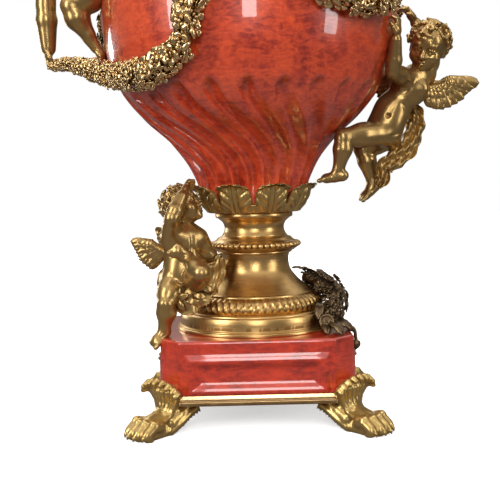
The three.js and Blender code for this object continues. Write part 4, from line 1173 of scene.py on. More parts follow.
@dataclass
class LeafCup:
    """The cup of broad veined leaves that holds the body."""

    leaves: int = 9
    radius: float = 50.0
    lip_radius: float = 65.0
    height: float = 31.0
    thickness: float = 2.6

    def leaf(self, middle: float, seed: int) -> Patch:
        """One leaf: u runs from edge to edge and v from base to tip, front and back joined.

        A rib stands between two valleys; each half swells in pillows between veins that follow
        lines of 3.2 v - 2.1 |u|^0.8; the lobed upper edge flares and rolls outwards.

        Args:
            middle: Angle of the leaf's rib.
            seed: Chooses the small differences between leaves.

        Returns:
            The closed leaf.
        """
        base = node_base("leaf_cup")
        luck = np.random.default_rng(seed)
        u = np.linspace(-1, 1, 41)[:, None]
        v = np.linspace(0, 1, 28)[None, :]
        wide = np.abs(u)
        pitch = 2 * np.pi / self.leaves
        half = pitch * (0.505 - 0.105 * v**1.3)
        lobes = np.abs(np.cos(2.5 * np.pi * u + luck.normal() * 0.12)) ** 0.6
        top = 1 - 0.16 * wide**2.4 - 0.06 * (1 - lobes)
        up = v * top
        roll = smoothstep(0.74, 1.0, v)
        z = base + 0.6 + (self.height - 1.0) * up - 2.4 * smoothstep(0.90, 1.0, v) * (1 - 0.4 * wide)
        belly = self.radius - 3.6 + 8.6 * np.sin(np.pi / 2 * np.minimum(up * 1.3, 1)) + 3.0 * up
        curl = (self.lip_radius - self.radius - 8.4) * roll**1.3 * (1 - 0.25 * wide**2)
        grown = smoothstep(0.0, 0.25, v)
        valley = np.exp(-(((wide - 0.15) / 0.09) ** 2)) * (1 - 0.6 * v)
        rib = np.exp(-((u / 0.05) ** 2)) * (1 - 0.7 * v)
        fan = np.abs(np.sin(np.pi * (3.2 * v - 2.1 * wide**0.8 + 0.15)))
        inner = smoothstep(0.08, 0.28, wide) * (1 - wide**8) * grown * (1 - 0.5 * roll)
        veins = (1 - fan) ** 1.6 * inner
        pillow = fan**0.6 * inner
        edge = -3.2 * wide**6 * (1 - 0.5 * roll)
        shape = belly + curl + edge
        reach = shape + 1.5 * rib - 1.9 * valley + 1.3 * pillow - 0.9 * veins
        angle = middle + half * u
        thin = self.thickness * (1 - 0.40 * roll)
        front = np.stack([reach * np.cos(angle), reach * np.sin(angle), z + 0 * u], -1)
        behind = shape - 1.0 - thin
        back = np.stack([behind * np.cos(angle), behind * np.sin(angle), z - 0.6 * roll + 0 * u], -1)
        ring = np.concatenate([front, back[::-1]], axis=0)
        # Painted shade and highlight: edges, valleys, veins, the base and the back darker; the rolled lip,
        # rib and pillows lighter
        dark = (
            0.5 * wide**8 - 0.5 * roll + 0.55 * valley + 0.5 * veins
            - 0.4 * rib - 0.2 * pillow + 0.3 * (1 - v)
        )
        shade = np.concatenate([dark, 0.6 + 0 * u * v], axis=0)
        shade = np.concatenate([shade[:, :1], shade, shade[:, -1:]], axis=1)
        return Patch.grid(capped(ring), closed_u=True, shade=shade)

    def build(self) -> bpy.types.Object:
        """The bowl with its ring of leaves."""
        base = node_base("leaf_cup")
        inner_floor = base + 4.7
        bowl = closed_profile(
            [(0, base), (self.radius - 9.5, base)],
            [
                (self.radius - 9.5, base), (self.radius - 5.5, base + 1.0), (self.radius - 2.8, base + 4.0),
                (self.radius - 0.5, base + 8.0),
            ],
            [(self.radius - 0.5, base + 8.0), (self.radius - 3.2, base + 8.4)],
            [(self.radius - 3.2, base + 8.4), (self.radius - 4.6, inner_floor)],
            [(self.radius - 4.6, inner_floor), (0, inner_floor)],
        )
        pitch = 2 * np.pi / self.leaves
        first = -np.pi / 2 + pitch / 2
        leaves = [self.leaf(first + k * pitch, k) for k in range(self.leaves)]
        cup = Patch.join([lathe(bowl, 144), *leaves])
        return make_piece("leaf_cup_gilt", cup, GILT, ["leaf_cup"], merge=True, rounds=5, reach=0.55)


@dataclass
class Feather:
    """One feather, or a covert, as a thin closed blade with a rib and slanting barbs."""

    width: float
    fine: bool = True
    thick: float = 1.3

    def build(self, root: np.ndarray, tip: np.ndarray, facing: np.ndarray, bow: float) -> Patch:
        """Lays the blade from root to tip.

        Half the width is w (0.5 + 0.5 ease(v)) up to v = 0.6, then closes as a quarter ellipse.
        The middle bows out by a half sine; barbs are a slanted wave of the shares u and v.

        Args:
            root: Where it grows.
            tip: Where it ends.
            facing: The side with the rib.
            bow: Height of the bow.

        Returns:
            The closed blade.
        """
        nu, nv = (9, 13) if self.fine else (5, 8)
        u, v = np.linspace(-1, 1, nu)[:, None], np.linspace(0, 1, nv)[None, :]
        across, normal, along = across_and_along(tip - root, facing)
        length = np.linalg.norm(tip - root)
        taper = (0.5 + 0.5 * smoothstep(0, 0.3, v)) * np.sqrt(1 - np.clip((v - 0.6) / 0.4, 0, 1) ** 2.2)
        half = np.maximum(self.width * taper, 0.05)
        barbs = 0.36 * np.sin(np.pi * (np.abs(u) * 2.2 + v * length / 3.2))
        rib = 0.7 * np.exp(-((u / 0.18) ** 2)) * (1 - 0.6 * v)
        camber = bow * np.sin(np.pi * v) - 0.34 * self.width * u * u
        middle = root + along * (v * length)[..., None] + normal * camber[..., None]
        side = across * (u * half + 0.10 * self.width * v**2)[..., None]
        front = middle + side + normal * (barbs * (1 - np.abs(u) ** 4) + rib + self.thick / 2)[..., None]
        back = middle + side - normal * (self.thick / 2 + 0 * u * v)[..., None]
        ring = np.concatenate([front, back[::-1]], axis=0)
        ends = (ring[:, -1:] + ring[::-1, -1:]) / 2
        start = np.broadcast_to(ring[:, :1].mean(0, keepdims=True), ring[:, :1].shape)
        return Patch.grid(np.concatenate([start, ring, ends], axis=1)[::-1], closed_u=True)


@dataclass
class Wing:
    """A small wing: long feathers under two rows of coverts on each face."""

    root: Vec
    tips: Sequence[Vec]
    facing: Vec
    bow: float
    feathers: int = 9

    def build(self, anchor: np.ndarray) -> Patch:
        """Feathers start along the wing's bent arm and fan out to the tips."""
        root = anchor + vec(self.root)
        tips = anchor + vec(self.tips)
        places = np.linspace(0, len(tips) - 1, self.feathers)
        ends = np.stack([np.interp(places, np.arange(len(tips)), tips[:, k]) for k in range(3)], -1)
        facing = unit(self.facing)
        wrist = root + 0.36 * (tips[0] - root) + np.array([0, 0, 2.5])
        starts = wrist + (root - wrist) * np.linspace(0, 0.95, self.feathers)[:, None]
        width = 1.25 * np.linalg.norm(np.diff(ends, axis=0), axis=1).mean() * 0.62 + 1.4
        parts = []
        for k, (start, end) in enumerate(zip(starts, ends)):
            lift = facing * (0.5 * (k % 2) - 0.25)
            parts.append(Feather(width).build(start + lift, end + lift, facing, self.bow * 0.3))
            for side in (1.0, -1.0):
                for share, out in ((0.66, 1.9), (0.42, 3.6), (0.22, 4.8)):
                    away = facing * side
                    tip = start + (end - start) * (share + 0.05 * (k % 2))
                    covert = Feather(width * 0.95, fine=False, thick=1.7)
                    bow = self.bow * 0.3 * side * share
                    parts.append(covert.build(start + away * out, tip + away * out * 0.8, away, bow + 0.5))
        return Patch.join(parts)


@dataclass
class Ribbon:
    """A drape: a crumpled band of cloth laid along a line."""

    line: Sequence[Vec]
    widths: Sequence[float]
    across: Vec
    thick: float = 2.2
    folds: float = 1.6
    depth: float = 2.4
    rim: float = 0.0
    sprigs: int = 0

    def build(self, anchor: np.ndarray) -> Patch:
        """Folds are waves across the width whose phase drifts along the length.

        The point is c(v) + u w(v) a + n (d sin(pi f u + 0.16 l) + 0.4 d sin(2.3 pi f u - 0.3 l)),
        with c the line, a across it, n its normal and l the length so far.

        Args:
            anchor: Added to every station.

        Returns:
            The closed band.
        """
        steps = 12
        path = spline([(*p, w) for p, w in zip(self.line, self.widths)], steps)
        centre, half = path[:, :3] + anchor, path[:, 3]
        step = np.gradient(centre, axis=0)
        length = np.cumsum(np.linalg.norm(step, axis=1))
        along = unit_rows(step)
        hint = unit(self.across)
        across = unit_rows(hint - along * (along @ hint)[:, None])
        normal = np.cross(along, across)
        u = np.linspace(-1, 1, 29)[:, None]
        wave = self.depth * np.sin(np.pi * self.folds * u + 0.16 * length[None, :])
        wave = wave + 0.4 * self.depth * np.sin(2.3 * np.pi * self.folds * u - 0.3 * length[None, :])
        ripple = 1 + 0.10 * np.sin(0.45 * length + 2)[None, :] * np.abs(u) ** 3
        wave = wave + 1.2 * np.abs(u) ** 3 * np.sin(0.55 * length)[None, :]
        spread = (u * half[None, :] * 0.95 * ripple)[..., None] * across[None]
        middle = centre[None] + spread
        front = middle + normal[None] * (wave + self.thick / 2)[..., None]
        back = middle + normal[None] * (wave - self.thick / 2)[..., None]
        ring = np.concatenate([front, back[::-1]], axis=0)
        parts = [Patch.grid(capped(ring)[::-1], closed_u=True)]
        if self.rim:
            beads = self.rim * (1 + 0.35 * np.abs(np.sin(0.9 * length)))
            edges = (middle[0] + normal * wave[0][:, None], middle[-1] + normal * wave[-1][:, None])
            # The rim's beads are lightened as painted highlight
            parts += [cord(edge, beads, -0.5, 8) for edge in edges]
        for k in range(self.sprigs):
            at = int((0.10 + 0.13 * k) * len(centre))
            seen = normal[at] * (-1 if normal[at][1] > 0 else 1)
            for turn in (-1, 1):
                way = unit(along[at] * 0.9 + across[at] * turn * 0.75)
                lift = unit(seen - way * np.dot(seen, way))
                axes = np.stack([way, np.cross(lift, way), lift])
                sprig = Bloom.leaf(half[at] * 0.95, half[at] * 0.24, 0.02)
                parts.append(sprig.placed(axes, centre[at] + seen * (self.depth * 0.6 + 1.2)))
        return Patch.join(parts)


@dataclass
class Head:
    """A curly head with a calm child's face, modelled in its own frame of side, forward and up."""

    centre: np.ndarray
    face: Vec
    up: Vec
    neck: np.ndarray
    scale: float = 1.0
    curls: int = 46
    seed: int = 3
    voxel: float = 0.92

    def build(self) -> Patch:
        """Skull, face, neck, ears and curls."""
        forward = unit(self.face)
        side = unit(np.cross(forward, vec(self.up)))
        axes = np.stack([side, forward, np.cross(side, forward)])
        axes_scaled = axes * self.scale
        reach = 30.0 * self.scale
        clay = Clay(self.centre - reach, self.centre + reach, self.voxel)

        def at(x: float, y: float, z: float) -> np.ndarray:
            """A point of the head's frame."""
            return self.centre + np.array([x, y, z]) @ axes_scaled

        def egg(place: Vec, radii: Vec, soft: float = 2.0, add: bool = True) -> None:
            """An egg in the head's frame."""
            clay.egg(at(*place), np.array(radii) * self.scale, axes, soft, add)

        def line(
            places: Sequence[Vec], radii: Sequence[float], soft: float = 0.8, add: bool = True
        ) -> None:
            """A cord through places in the head's frame."""
            clay.chain([at(*p) for p in places], [r * self.scale for r in radii], soft, add)

        egg((0, -2.2, 4.0), (14.3, 15.4, 13.8))
        egg((0, 3.6, -4.2), (11.6, 10.4, 11.6), 5)
        egg((0, 6.6, 6.0), (10.4, 7.2, 7.6), 5)
        egg((0, 3.8, -12.0), (8.6, 7.6, 5.0), 4)
        clay.limb(self.centre - (axes[2] * 8 + axes[1] * 2), self.neck, 8.6, 8.4, 4)
        for s in (-1, 1):
            egg((s * 6.4, 8.0, -6.6), (5.6, 4.7, 5.2), 3)
            egg((s * 5.4, 13.6, -0.9), (3.9, 3.0, 2.9), 2.4, False)
            egg((s * 5.2, 10.2, -1.1), (3.0, 2.4, 2.3), 0.8)
            line(
                [(s * 2.5, 12.2, -1.4), (s * 4.2, 13.2, 0.4), (s * 6.4, 12.7, 0.3), (s * 8.3, 10.6, -1.2)],
                [0.6, 0.8, 0.8, 0.6],
            )
            line([(s * 2.7, 12.2, -1.6), (s * 5.2, 12.6, -3.0), (s * 8.0, 10.7, -1.6)], [0.5, 0.6, 0.5])
            line([(s * 2.2, 13.2, 2.6), (s * 5.0, 13.4, 3.9), (s * 8.6, 11.0, 3.0)], [0.8, 1.2, 0.8], 2.2)
            egg((s * 2.1, 14.2, -6.3), (1.5, 1.7, 1.3), 1.2)
            egg((s * 1.1, 15.1, -7.4), (0.6, 0.8, 0.6), 0.5, False)
            egg((s * 4.5, 12.3, -10.4), (0.8, 0.9, 0.7), 1.0, False)
            egg((s * 13.3, -1.5, -2.6), (2.0, 3.3, 4.6), 1.5)
            egg((s * 15.2, -0.6, -2.2), (1.1, 1.7, 2.7), 0.9, False)
        line([(0, 12.6, 1.8), (0, 13.7, -1.6), (0, 15.9, -5.3)], [1.4, 1.2, 1.9], 2.2)
        egg((0, 16.3, -5.7), (2.0, 1.7, 1.8), 1.2)
        egg((0, 10.2, -15.0), (3.7, 3.3, 2.9), 2.6)
        egg((0, 11.6, -10.6), (4.6, 2.8, 3.2), 2.4)
        line([
            (-3.9, 12.6, -10.3), (-1.5, 14.4, -9.5), (0, 14.5, -9.9), (1.5, 14.4, -9.5), (3.9, 12.6, -10.3)
        ], [0.5, 1.0, 0.9, 1.0, 0.5])
        line([(-3.0, 12.9, -11.2), (0, 14.1, -11.8), (3.0, 12.9, -11.2)], [0.6, 1.2, 0.6])
        line([(-3.8, 13.4, -10.6), (0, 15.3, -10.7), (3.8, 13.4, -10.6)], [0.4, 0.4, 0.4], 0.5, False)
        self._curl(clay, axes)
        return clay.patch()

    def _curl(self, clay: Clay, axes: np.ndarray) -> None:
        """Covers the skull with comma-shaped curls, spaced by the golden angle, clear of the face."""
        luck = np.random.default_rng(self.seed)
        total = self.curls
        for k in range(total):
            z = 1 - 2 * (k + 0.5) / total
            around = k * math.pi * (3 - math.sqrt(5)) + luck.normal() * 0.08
            flat = math.sqrt(1 - z * z)
            way = np.array([flat * math.cos(around), flat * math.sin(around), z])
            if way[2] < -0.62 or (way[1] > 0.28 and way[2] < 0.50) or (way[1] > -0.1 and way[2] < -0.2):
                continue
            base = np.array([0, -2.2, 4.0]) + way * np.array([14.2, 15.4, 14.0])
            one = unit(np.cross(way, [0.3, 0.2, 1.0]))
            two = np.cross(way, one)
            hand = 1 if luck.random() < 0.5 else -1
            phase = luck.uniform(0, 2 * math.pi)
            size = luck.uniform(4.6, 6.0)
            turns = np.linspace(0, 1, 9)
            angle = phase + hand * turns * 2 * math.pi * 1.1
            lift = 0.6 + 3.6 * turns
            for shift in (0.0, 2.3):
                radius = (size - shift) * (1 - 0.78 * turns)
                local = (
                    base
                    + np.cos(angle)[:, None] * radius[:, None] * one
                    + np.sin(angle)[:, None] * radius[:, None] * two
                    + (lift - 0.25 * shift)[:, None] * way
                )
                points = self.centre + local @ axes * self.scale
                clay.chain(list(points), list(self.scale * (1.45 - 0.6 * turns)), 0.45)


@dataclass
class Boy:
    """A winged boy in cast bronze: joints in millimetres from an anchor, flesh modelled on them."""

    name: str
    node: str
    anchor: Vec
    torso: Sequence[Vec]
    front: Vec
    head: Vec
    face: Vec
    head_up: Vec
    arms: Sequence[Sequence[Vec]]
    palms: Sequence[Vec]
    legs: Sequence[Sequence[Vec]]
    wings: Sequence[Wing]
    drapes: Sequence[Ribbon] = ()
    seed: int = 1
    bulk: float = 0.88
    trunk: float = 1.0
    head_scale: float = 1.0
    voxel: float = 1.32

    def build(self, body: UrnBody) -> None:
        """Models the boy, keeps clear of the urn's wall, and adds head, wings and drape."""
        anchor = vec(self.anchor)
        joints = [vec(p) for p in (*self.torso, self.head)]
        joints += [vec(p) for limb in (*self.arms, *self.legs) for p in limb]
        low, high = np.min(joints, axis=0) - 22 + anchor, np.max(joints, axis=0) + 22 + anchor
        clay = Clay(low, high, self.voxel)
        self._torso(clay, anchor)
        for arm, palm in zip(self.arms, self.palms):
            self._arm(clay, [anchor + vec(p) for p in arm], unit(palm))
        for leg in self.legs:
            self._leg(clay, [anchor + vec(p) for p in leg])
        for wing in self.wings:
            self._wing_root(clay, anchor, wing)
        clay.keep_outside(lambda z: body.radius_at(z) - 0.6, body.bottom + 12, body.top - 4)
        flesh = clay.patch()
        make_piece(f"{self.name}_figure", flesh, AGED, [self.node], rounds=10, reach=0.75)
        collar = anchor + vec(self.torso[3])
        centre = anchor + vec(self.head)
        head = Head(centre, self.face, self.head_up, collar, self.head_scale, seed=self.seed).build()
        make_piece(f"{self.name}_head", head, AGED, [self.node], rounds=8, reach=0.5)
        wings = Patch.join([wing.build(anchor) for wing in self.wings])
        make_piece(f"{self.name}_wings", wings, AGED, [self.node], merge=True, rounds=3, reach=0.35)
        if self.drapes:
            cloth = Patch.join([drape.build(anchor) for drape in self.drapes])
            make_piece(f"{self.name}_drape", cloth, AGED, [self.node], merge=True, rounds=8, reach=0.6)

    def _torso(self, clay: Clay, anchor: np.ndarray) -> None:
        """Pelvis, belly, ribs, breast, shoulder blades and the soft lines between them."""
        pelvis, waist, chest, collar = (anchor + vec(p) for p in self.torso)

        def axes_at(low: np.ndarray, high: np.ndarray) -> np.ndarray:
            """Rows across, front and up for a stretch of the trunk."""
            up = unit(high - low)
            ahead = unit(np.asarray(self.front) - up * np.dot(self.front, up))
            return np.stack([np.cross(ahead, up), ahead, up])

        low, high = axes_at(pelvis, waist), axes_at(waist, collar)
        m = self.trunk

        def egg(place: np.ndarray, radii: Vec, axes: np.ndarray, soft: float, add: bool = True) -> None:
            """An egg at the trunk's scale."""
            clay.egg(place, np.array(radii) * m, axes, soft, add)

        belly = waist * 0.5 + pelvis * 0.5
        clay.chain([pelvis, waist, chest, collar - high[2] * 3], [12.4 * m, 12.0 * m, 12.0 * m, 8.5], 5)
        egg(pelvis, (15.8, 13.2, 13.0), low, 5)
        egg(belly + low[1] * 2.4 * m, (14.8, 12.6, 15.5), low, 5)
        egg(waist, (14.2, 12.2, 15.5), high, 5)
        egg(chest, (15.8, 12.2, 15.5), high, 5)
        clay.egg(collar, (12.5, 9.0, 7.6), high, 5)
        for arm in self.arms:
            clay.limb(collar, anchor + vec(arm[0]), 7.8, 8.8, 5)
        for s in (-1, 1):
            side = high[0] * s * 6.9 * m
            egg(chest + side + high[1] * 7.6 * m + high[2] * 4.2, (7.8, 4.9, 6.4), high, 2.0)
            egg(chest + side - high[1] * 7.8 * m + high[2] * 3.5, (6.6, 4.2, 8.4), high, 3)
            egg(pelvis + low[0] * s * 7.8 * m - low[1] * 6.8 * m - low[2] * 4.2, (8.8, 8.8, 10.0), low, 2.0)
            crease = [
                pelvis + (low[0] * s * 13.8 + low[1] * 8.4 + low[2] * 2.0) * m,
                pelvis + (low[0] * s * 6.5 + low[1] * 13.8 - low[2] * 5.0) * m,
            ]
            clay.chain(crease, [1.2, 1.2], 2.2, False)
            rib = [waist + (high[0] * s * 13.6 + high[1] * 7.0 + high[2] * 4.0) * m]
            rib.append(waist + (high[0] * s * 4.0 + high[1] * 13.6 + high[2] * 8.0) * m)
            clay.chain(rib, [0.9, 1.0], 2.6, False)
        navel = belly + (low[1] * 15.2 + low[2] * 2.0) * m
        egg(navel, (1.6, 2.6, 2.1), low, 1.6, False)
        breast = chest + high[1] * 13.6 * m
        clay.chain(
            [breast + high[2] * 6, breast - high[2] * 6, navel + low[2] * 5], [1.2, 1.1, 0.6], 2.6, False
        )
        back = [collar - high[1] * 9.8, chest - high[1] * 13.4 * m, waist - high[1] * 12.8 * m]
        clay.chain([*back, pelvis - low[1] * 14.6 * m], [0.9, 1.3, 1.3, 1.6], 2.8, False)

    def _arm(self, clay: Clay, joints: list[np.ndarray], palm: np.ndarray) -> None:
        """A plump arm with a crease at the wrist, and a hand whose fingers curl towards the palm."""
        shoulder, elbow, wrist, hand = joints
        m = self.bulk
        clay.chain([shoulder, elbow], [10.0 * m, 8.2 * m], 4)
        plump = np.array((9.6, 9.6, 11.0)) * m
        clay.egg(shoulder * 0.55 + elbow * 0.45, plump, across_and_along(elbow - shoulder, palm), 3)
        forearm = elbow * 0.66 + wrist * 0.34
        clay.chain([elbow, forearm, wrist], [7.7 * m, 8.7 * m, 6.2 * m], 2.0)
        fingers = unit(hand - wrist)
        side = unit(np.cross(fingers, palm))
        palm = np.cross(side, fingers)
        axes = np.stack([side, palm, fingers])
        heel = wrist + fingers * 4.2
        clay.egg(heel + fingers * 3.6, (6.2, 3.9, 6.6), axes, 1.4)
        for k in range(4):
            spread = (k - 1.5) * 2.9
            start = heel + fingers * 8.6 + side * spread
            middle = start + fingers * (5.4 - 0.5 * abs(k - 1.3)) + side * spread * 0.12 + palm * 0.8
            end = middle + fingers * 2.0 + palm * 4.6
            clay.chain([start, middle, end], [2.15, 1.95, 1.6], 0.7)
        thumb = heel + side * 5.2 + fingers * 1.8
        clay.chain([
            thumb, thumb + side * 2.4 + fingers * 4.4 + palm * 2.2,
            thumb + side * 1.2 + fingers * 7.4 + palm * 5.0,
        ], [2.5, 2.1, 1.7], 0.9)

    def _leg(self, clay: Clay, joints: list[np.ndarray]) -> None:
        """A plump leg with knee cap, calf and a foot with five toes."""
        hip, knee, ankle, heel, toe = joints
        ahead = toe - heel
        m = self.bulk
        clay.chain([hip, hip * 0.45 + knee * 0.55, knee], [13.6 * m, 12.6 * m, 9.4 * m], 3.4)
        bend = across_and_along(knee - hip, ahead)
        clay.egg(hip * 0.6 + knee * 0.4, np.array((13.6, 13.2, 17.0)) * m, bend, 3)
        cap = unit(
            (knee - hip) / np.linalg.norm(knee - hip) - (ankle - knee) / np.linalg.norm(ankle - knee)
        )
        clay.egg(knee + cap * 4.4 * m, np.array((5.8, 5.8, 5.8)) * m, None, 2.0)
        calf = knee * 0.62 + ankle * 0.38
        behind = -unit(
            ahead - (ankle - knee) * np.dot(ahead, ankle - knee) / np.dot(ankle - knee, ankle - knee)
        )
        clay.chain([knee, calf + behind * 1.2, ankle], [9.0 * m, 10.6 * m, 6.2 * m], 2.4)
        foot = unit(ahead)
        side = unit(np.cross(foot, knee - ankle))
        top = np.cross(side, foot)
        ball = heel + foot * np.linalg.norm(ahead) * 0.74
        clay.egg(heel, (5.4, 6.0, 5.2), np.stack([side, foot, top]), 2.0)
        clay.limb(ankle, heel * 0.5 + ball * 0.5, 6.0 * m, 5.2, 2.6)
        clay.limb(heel, ball, 4.8, 4.6, 2.6)
        clay.egg(ball, (7.0, 6.2, 4.3), np.stack([side, foot, top]), 2.2)
        for k in range(5):
            across = (k - 2) * 2.75
            size = 2.5 if k == 0 else 2.05 - 0.08 * k
            start = ball + side * across + foot * 2.2
            clay.chain([start, start + foot * (5.2 - 0.55 * k) - top * 0.8], [size, size * 0.95], 0.7)

    @staticmethod
    def _wing_root(clay: Clay, anchor: np.ndarray, wing: Wing) -> None:
        """The fleshy start of a wing on the shoulder blade."""
        root = anchor + vec(wing.root)
        tip = anchor + vec(wing.tips[0])
        wrist = root + 0.36 * (tip - root) + np.array([0, 0, 2.5])
        clay.chain([root, wrist], [4.4, 2.4], 2.5)


@dataclass
class Figures:
    """The three boys."""

    body: UrnBody

    def climber(self) -> Boy:
        """The boy who climbs the right side and holds the front garland's end."""
        return Boy(
            "climber",
            "boy_climbing",
            anchor=(144, 0, 384.9),
            torso=((-14.5, -7, -110), (-5.5, -7, -89.5), (11.5, -9, -68.5), (19.5, -10, -56)),
            front=(-0.25, -0.95, -0.1),
            head=(28.5, -15, -31),
            face=(-0.42, -0.86, -0.28),
            head_up=(0.25, -0.1, 1.0),
            arms=(
                ((6, -19, -61), (-11, -48, -57), (-10, -61, -30), (-7.5, -63.5, -13)),
                ((29, -2, -56), (42, 15, -30), (21, 8, -4), (14, 6, 6)),
            ),
            palms=((-0.9, 0.4, 0), (-0.9, -0.2, -0.2)),
            legs=(
                (
                    (-19, -15, -112.5), (-57, -34, -116.5), (-61.5, -31, -146), (-58, -31, -153),
                    (-78, -28, -156),
                ),
                ((-7, 5, -115), (-34.5, 4, -127), (-24.5, 4, -159.5), (-22.5, 5, -164.5), (-35.5, 0, -176)),
            ),
            head_scale=1.22,
            trunk=1.18,
            wings=(
                Wing((30, 3, -66), (
                    (81.5, -2, -66), (72, -2, -73), (65, -2, -82), (54, -2, -88), (43, -2, -91),
                    (34, -1, -88),
                ), (0.1, -1, 0), 9),
                Wing(
                    (18, 6, -70), ((-10, 50, -52), (-14, 48, -62), (-12, 44, -74), (-5, 38, -84)),
                    (1, 0.3, 0), 7,
                ),
            ),
            drapes=(
                Ribbon(
                    (
                        (15, 6, -80), (20, 5, -98), (16, 3, -115), (9, -2, -129), (-4, -5, -139),
                        (-14, -7, -146), (-16, -7, -157), (-21, -6, -165),
                    ),
                    (5, 8.5, 10, 10, 10, 9, 7, 4),
                    (0.8, 0, -0.6),
                ),
            ),
            seed=11,
        )

    def leaner(self) -> Boy:
        """The boy who leans on the left shoulder and holds the garland down."""
        return Boy(
            "leaner",
            "boy_leaning",
            anchor=(-144, 0, 384.9),
            torso=((9, -7, 42), (-10, -8, 53), (-29, -10, 67), (-37, -12, 76)),
            front=(-0.35, -0.88, -0.35),
            head=(-44, -20, 108),
            face=(0.25, -0.86, -0.42),
            head_up=(-0.1, -0.3, 1.0),
            arms=(
                ((-48, -18, 62), (-51.6, -16, 17), (-51, -15, -23), (-51.5, -16, -36)),
                ((-25, -2, 80), (0, 6, 76), (19, 0, 70), (25, -3, 67)),
            ),
            palms=((0.9, 0.1, 0), (-0.2, 0, -1)),
            legs=(
                ((4, -16, 33), (-25, -21, 15), (-12, -16, -11), (-11, -15, -15), (2.7, -12, -34.5)),
                ((10, 8, 35), (12, 62, 22), (17, 72, -6), (15, 74, -10), (23, 81, -26)),
            ),
            wings=(
                Wing(
                    (-32, 6, 78),
                    ((-75, 28, 120), (-81.5, 26, 107), (-80, 24, 95), (-73, 22, 84), (-64, 20, 74)),
                    (0.2, -1, 0), 9,
                ),
                Wing(
                    (-22, 8, 84), ((-8, 42, 132), (0, 44, 120), (4, 42, 108), (2, 38, 98)), (1, -0.4, 0), 7
                ),
            ),
            seed=23,
            bulk=1.16,
            trunk=1.15,
        )

    def sitter(self) -> Boy:
        """The boy who sits on the plinth's edge and reaches up to the leaf cup."""
        return Boy(
            "sitter",
            "boy_sitting",
            anchor=(0, 0, 84.4),
            torso=((-70, -43, 54), (-68, -43, 70), (-67, -42, 88), (-68, -41, 99)),
            front=(0.5, -0.84, 0.1),
            head=(-68, -37, 122),
            head_scale=1.06,
            bulk=0.9,
            trunk=1.3,
            face=(0.80, -0.12, 0.40),
            head_up=(-0.2, 0.2, 1.0),
            arms=(
                ((-79, -50, 93), (-76, -65, 112), (-67, -57, 132), (-62, -45, 142)),
                ((-54, -38, 91), (-46, -34, 76), (-40, -27, 69), (-37.5, -23, 66)),
            ),
            palms=((0.9, 0.3, 0.2), (0.3, 0.4, -0.9)),
            legs=(
                ((-78, -50, 51), (-84, -66, 32), (-86.5, -62, 10), (-86, -60, 5), (-96, -67, -4)),
                ((-59, -49, 51), (-49, -89, 63), (-61, -72, 74), (-61.5, -70, 76), (-73, -76, 83)),
            ),
            wings=(
                Wing(
                    (-84, -34, 80), ((-120, -32, 90), (-116, -32, 80), (-112, -32, 70), (-103, -32, 62)),
                    (0.1, -1, 0), 8,
                ),
                Wing(
                    (-78, -26, 84), ((-98, 6, 98), (-96, 8, 86), (-91, 8, 75), (-84, 4, 66)), (1, 0.4, 0), 6
                ),
            ),
            drapes=(
                Ribbon(
                    (
                        (-76, -61, 38), (-68, -64, 36), (-57, -61, 41), (-45, -53, 50), (-36, -42, 61),
                        (-32, -33, 72),
                    ),
                    (13, 15, 14.5, 12.5, 9, 5),
                    (-0.35, 0.1, 0.93),
                    thick=1.8,
                    folds=1.0,
                    depth=1.3,
                    rim=0.9,
                    sprigs=4,
                ),
            ),
            seed=37,
        )

    def build(self) -> None:
        """All three."""
        for boy in (self.climber(), self.leaner(), self.sitter()):
            boy.build(self.body)


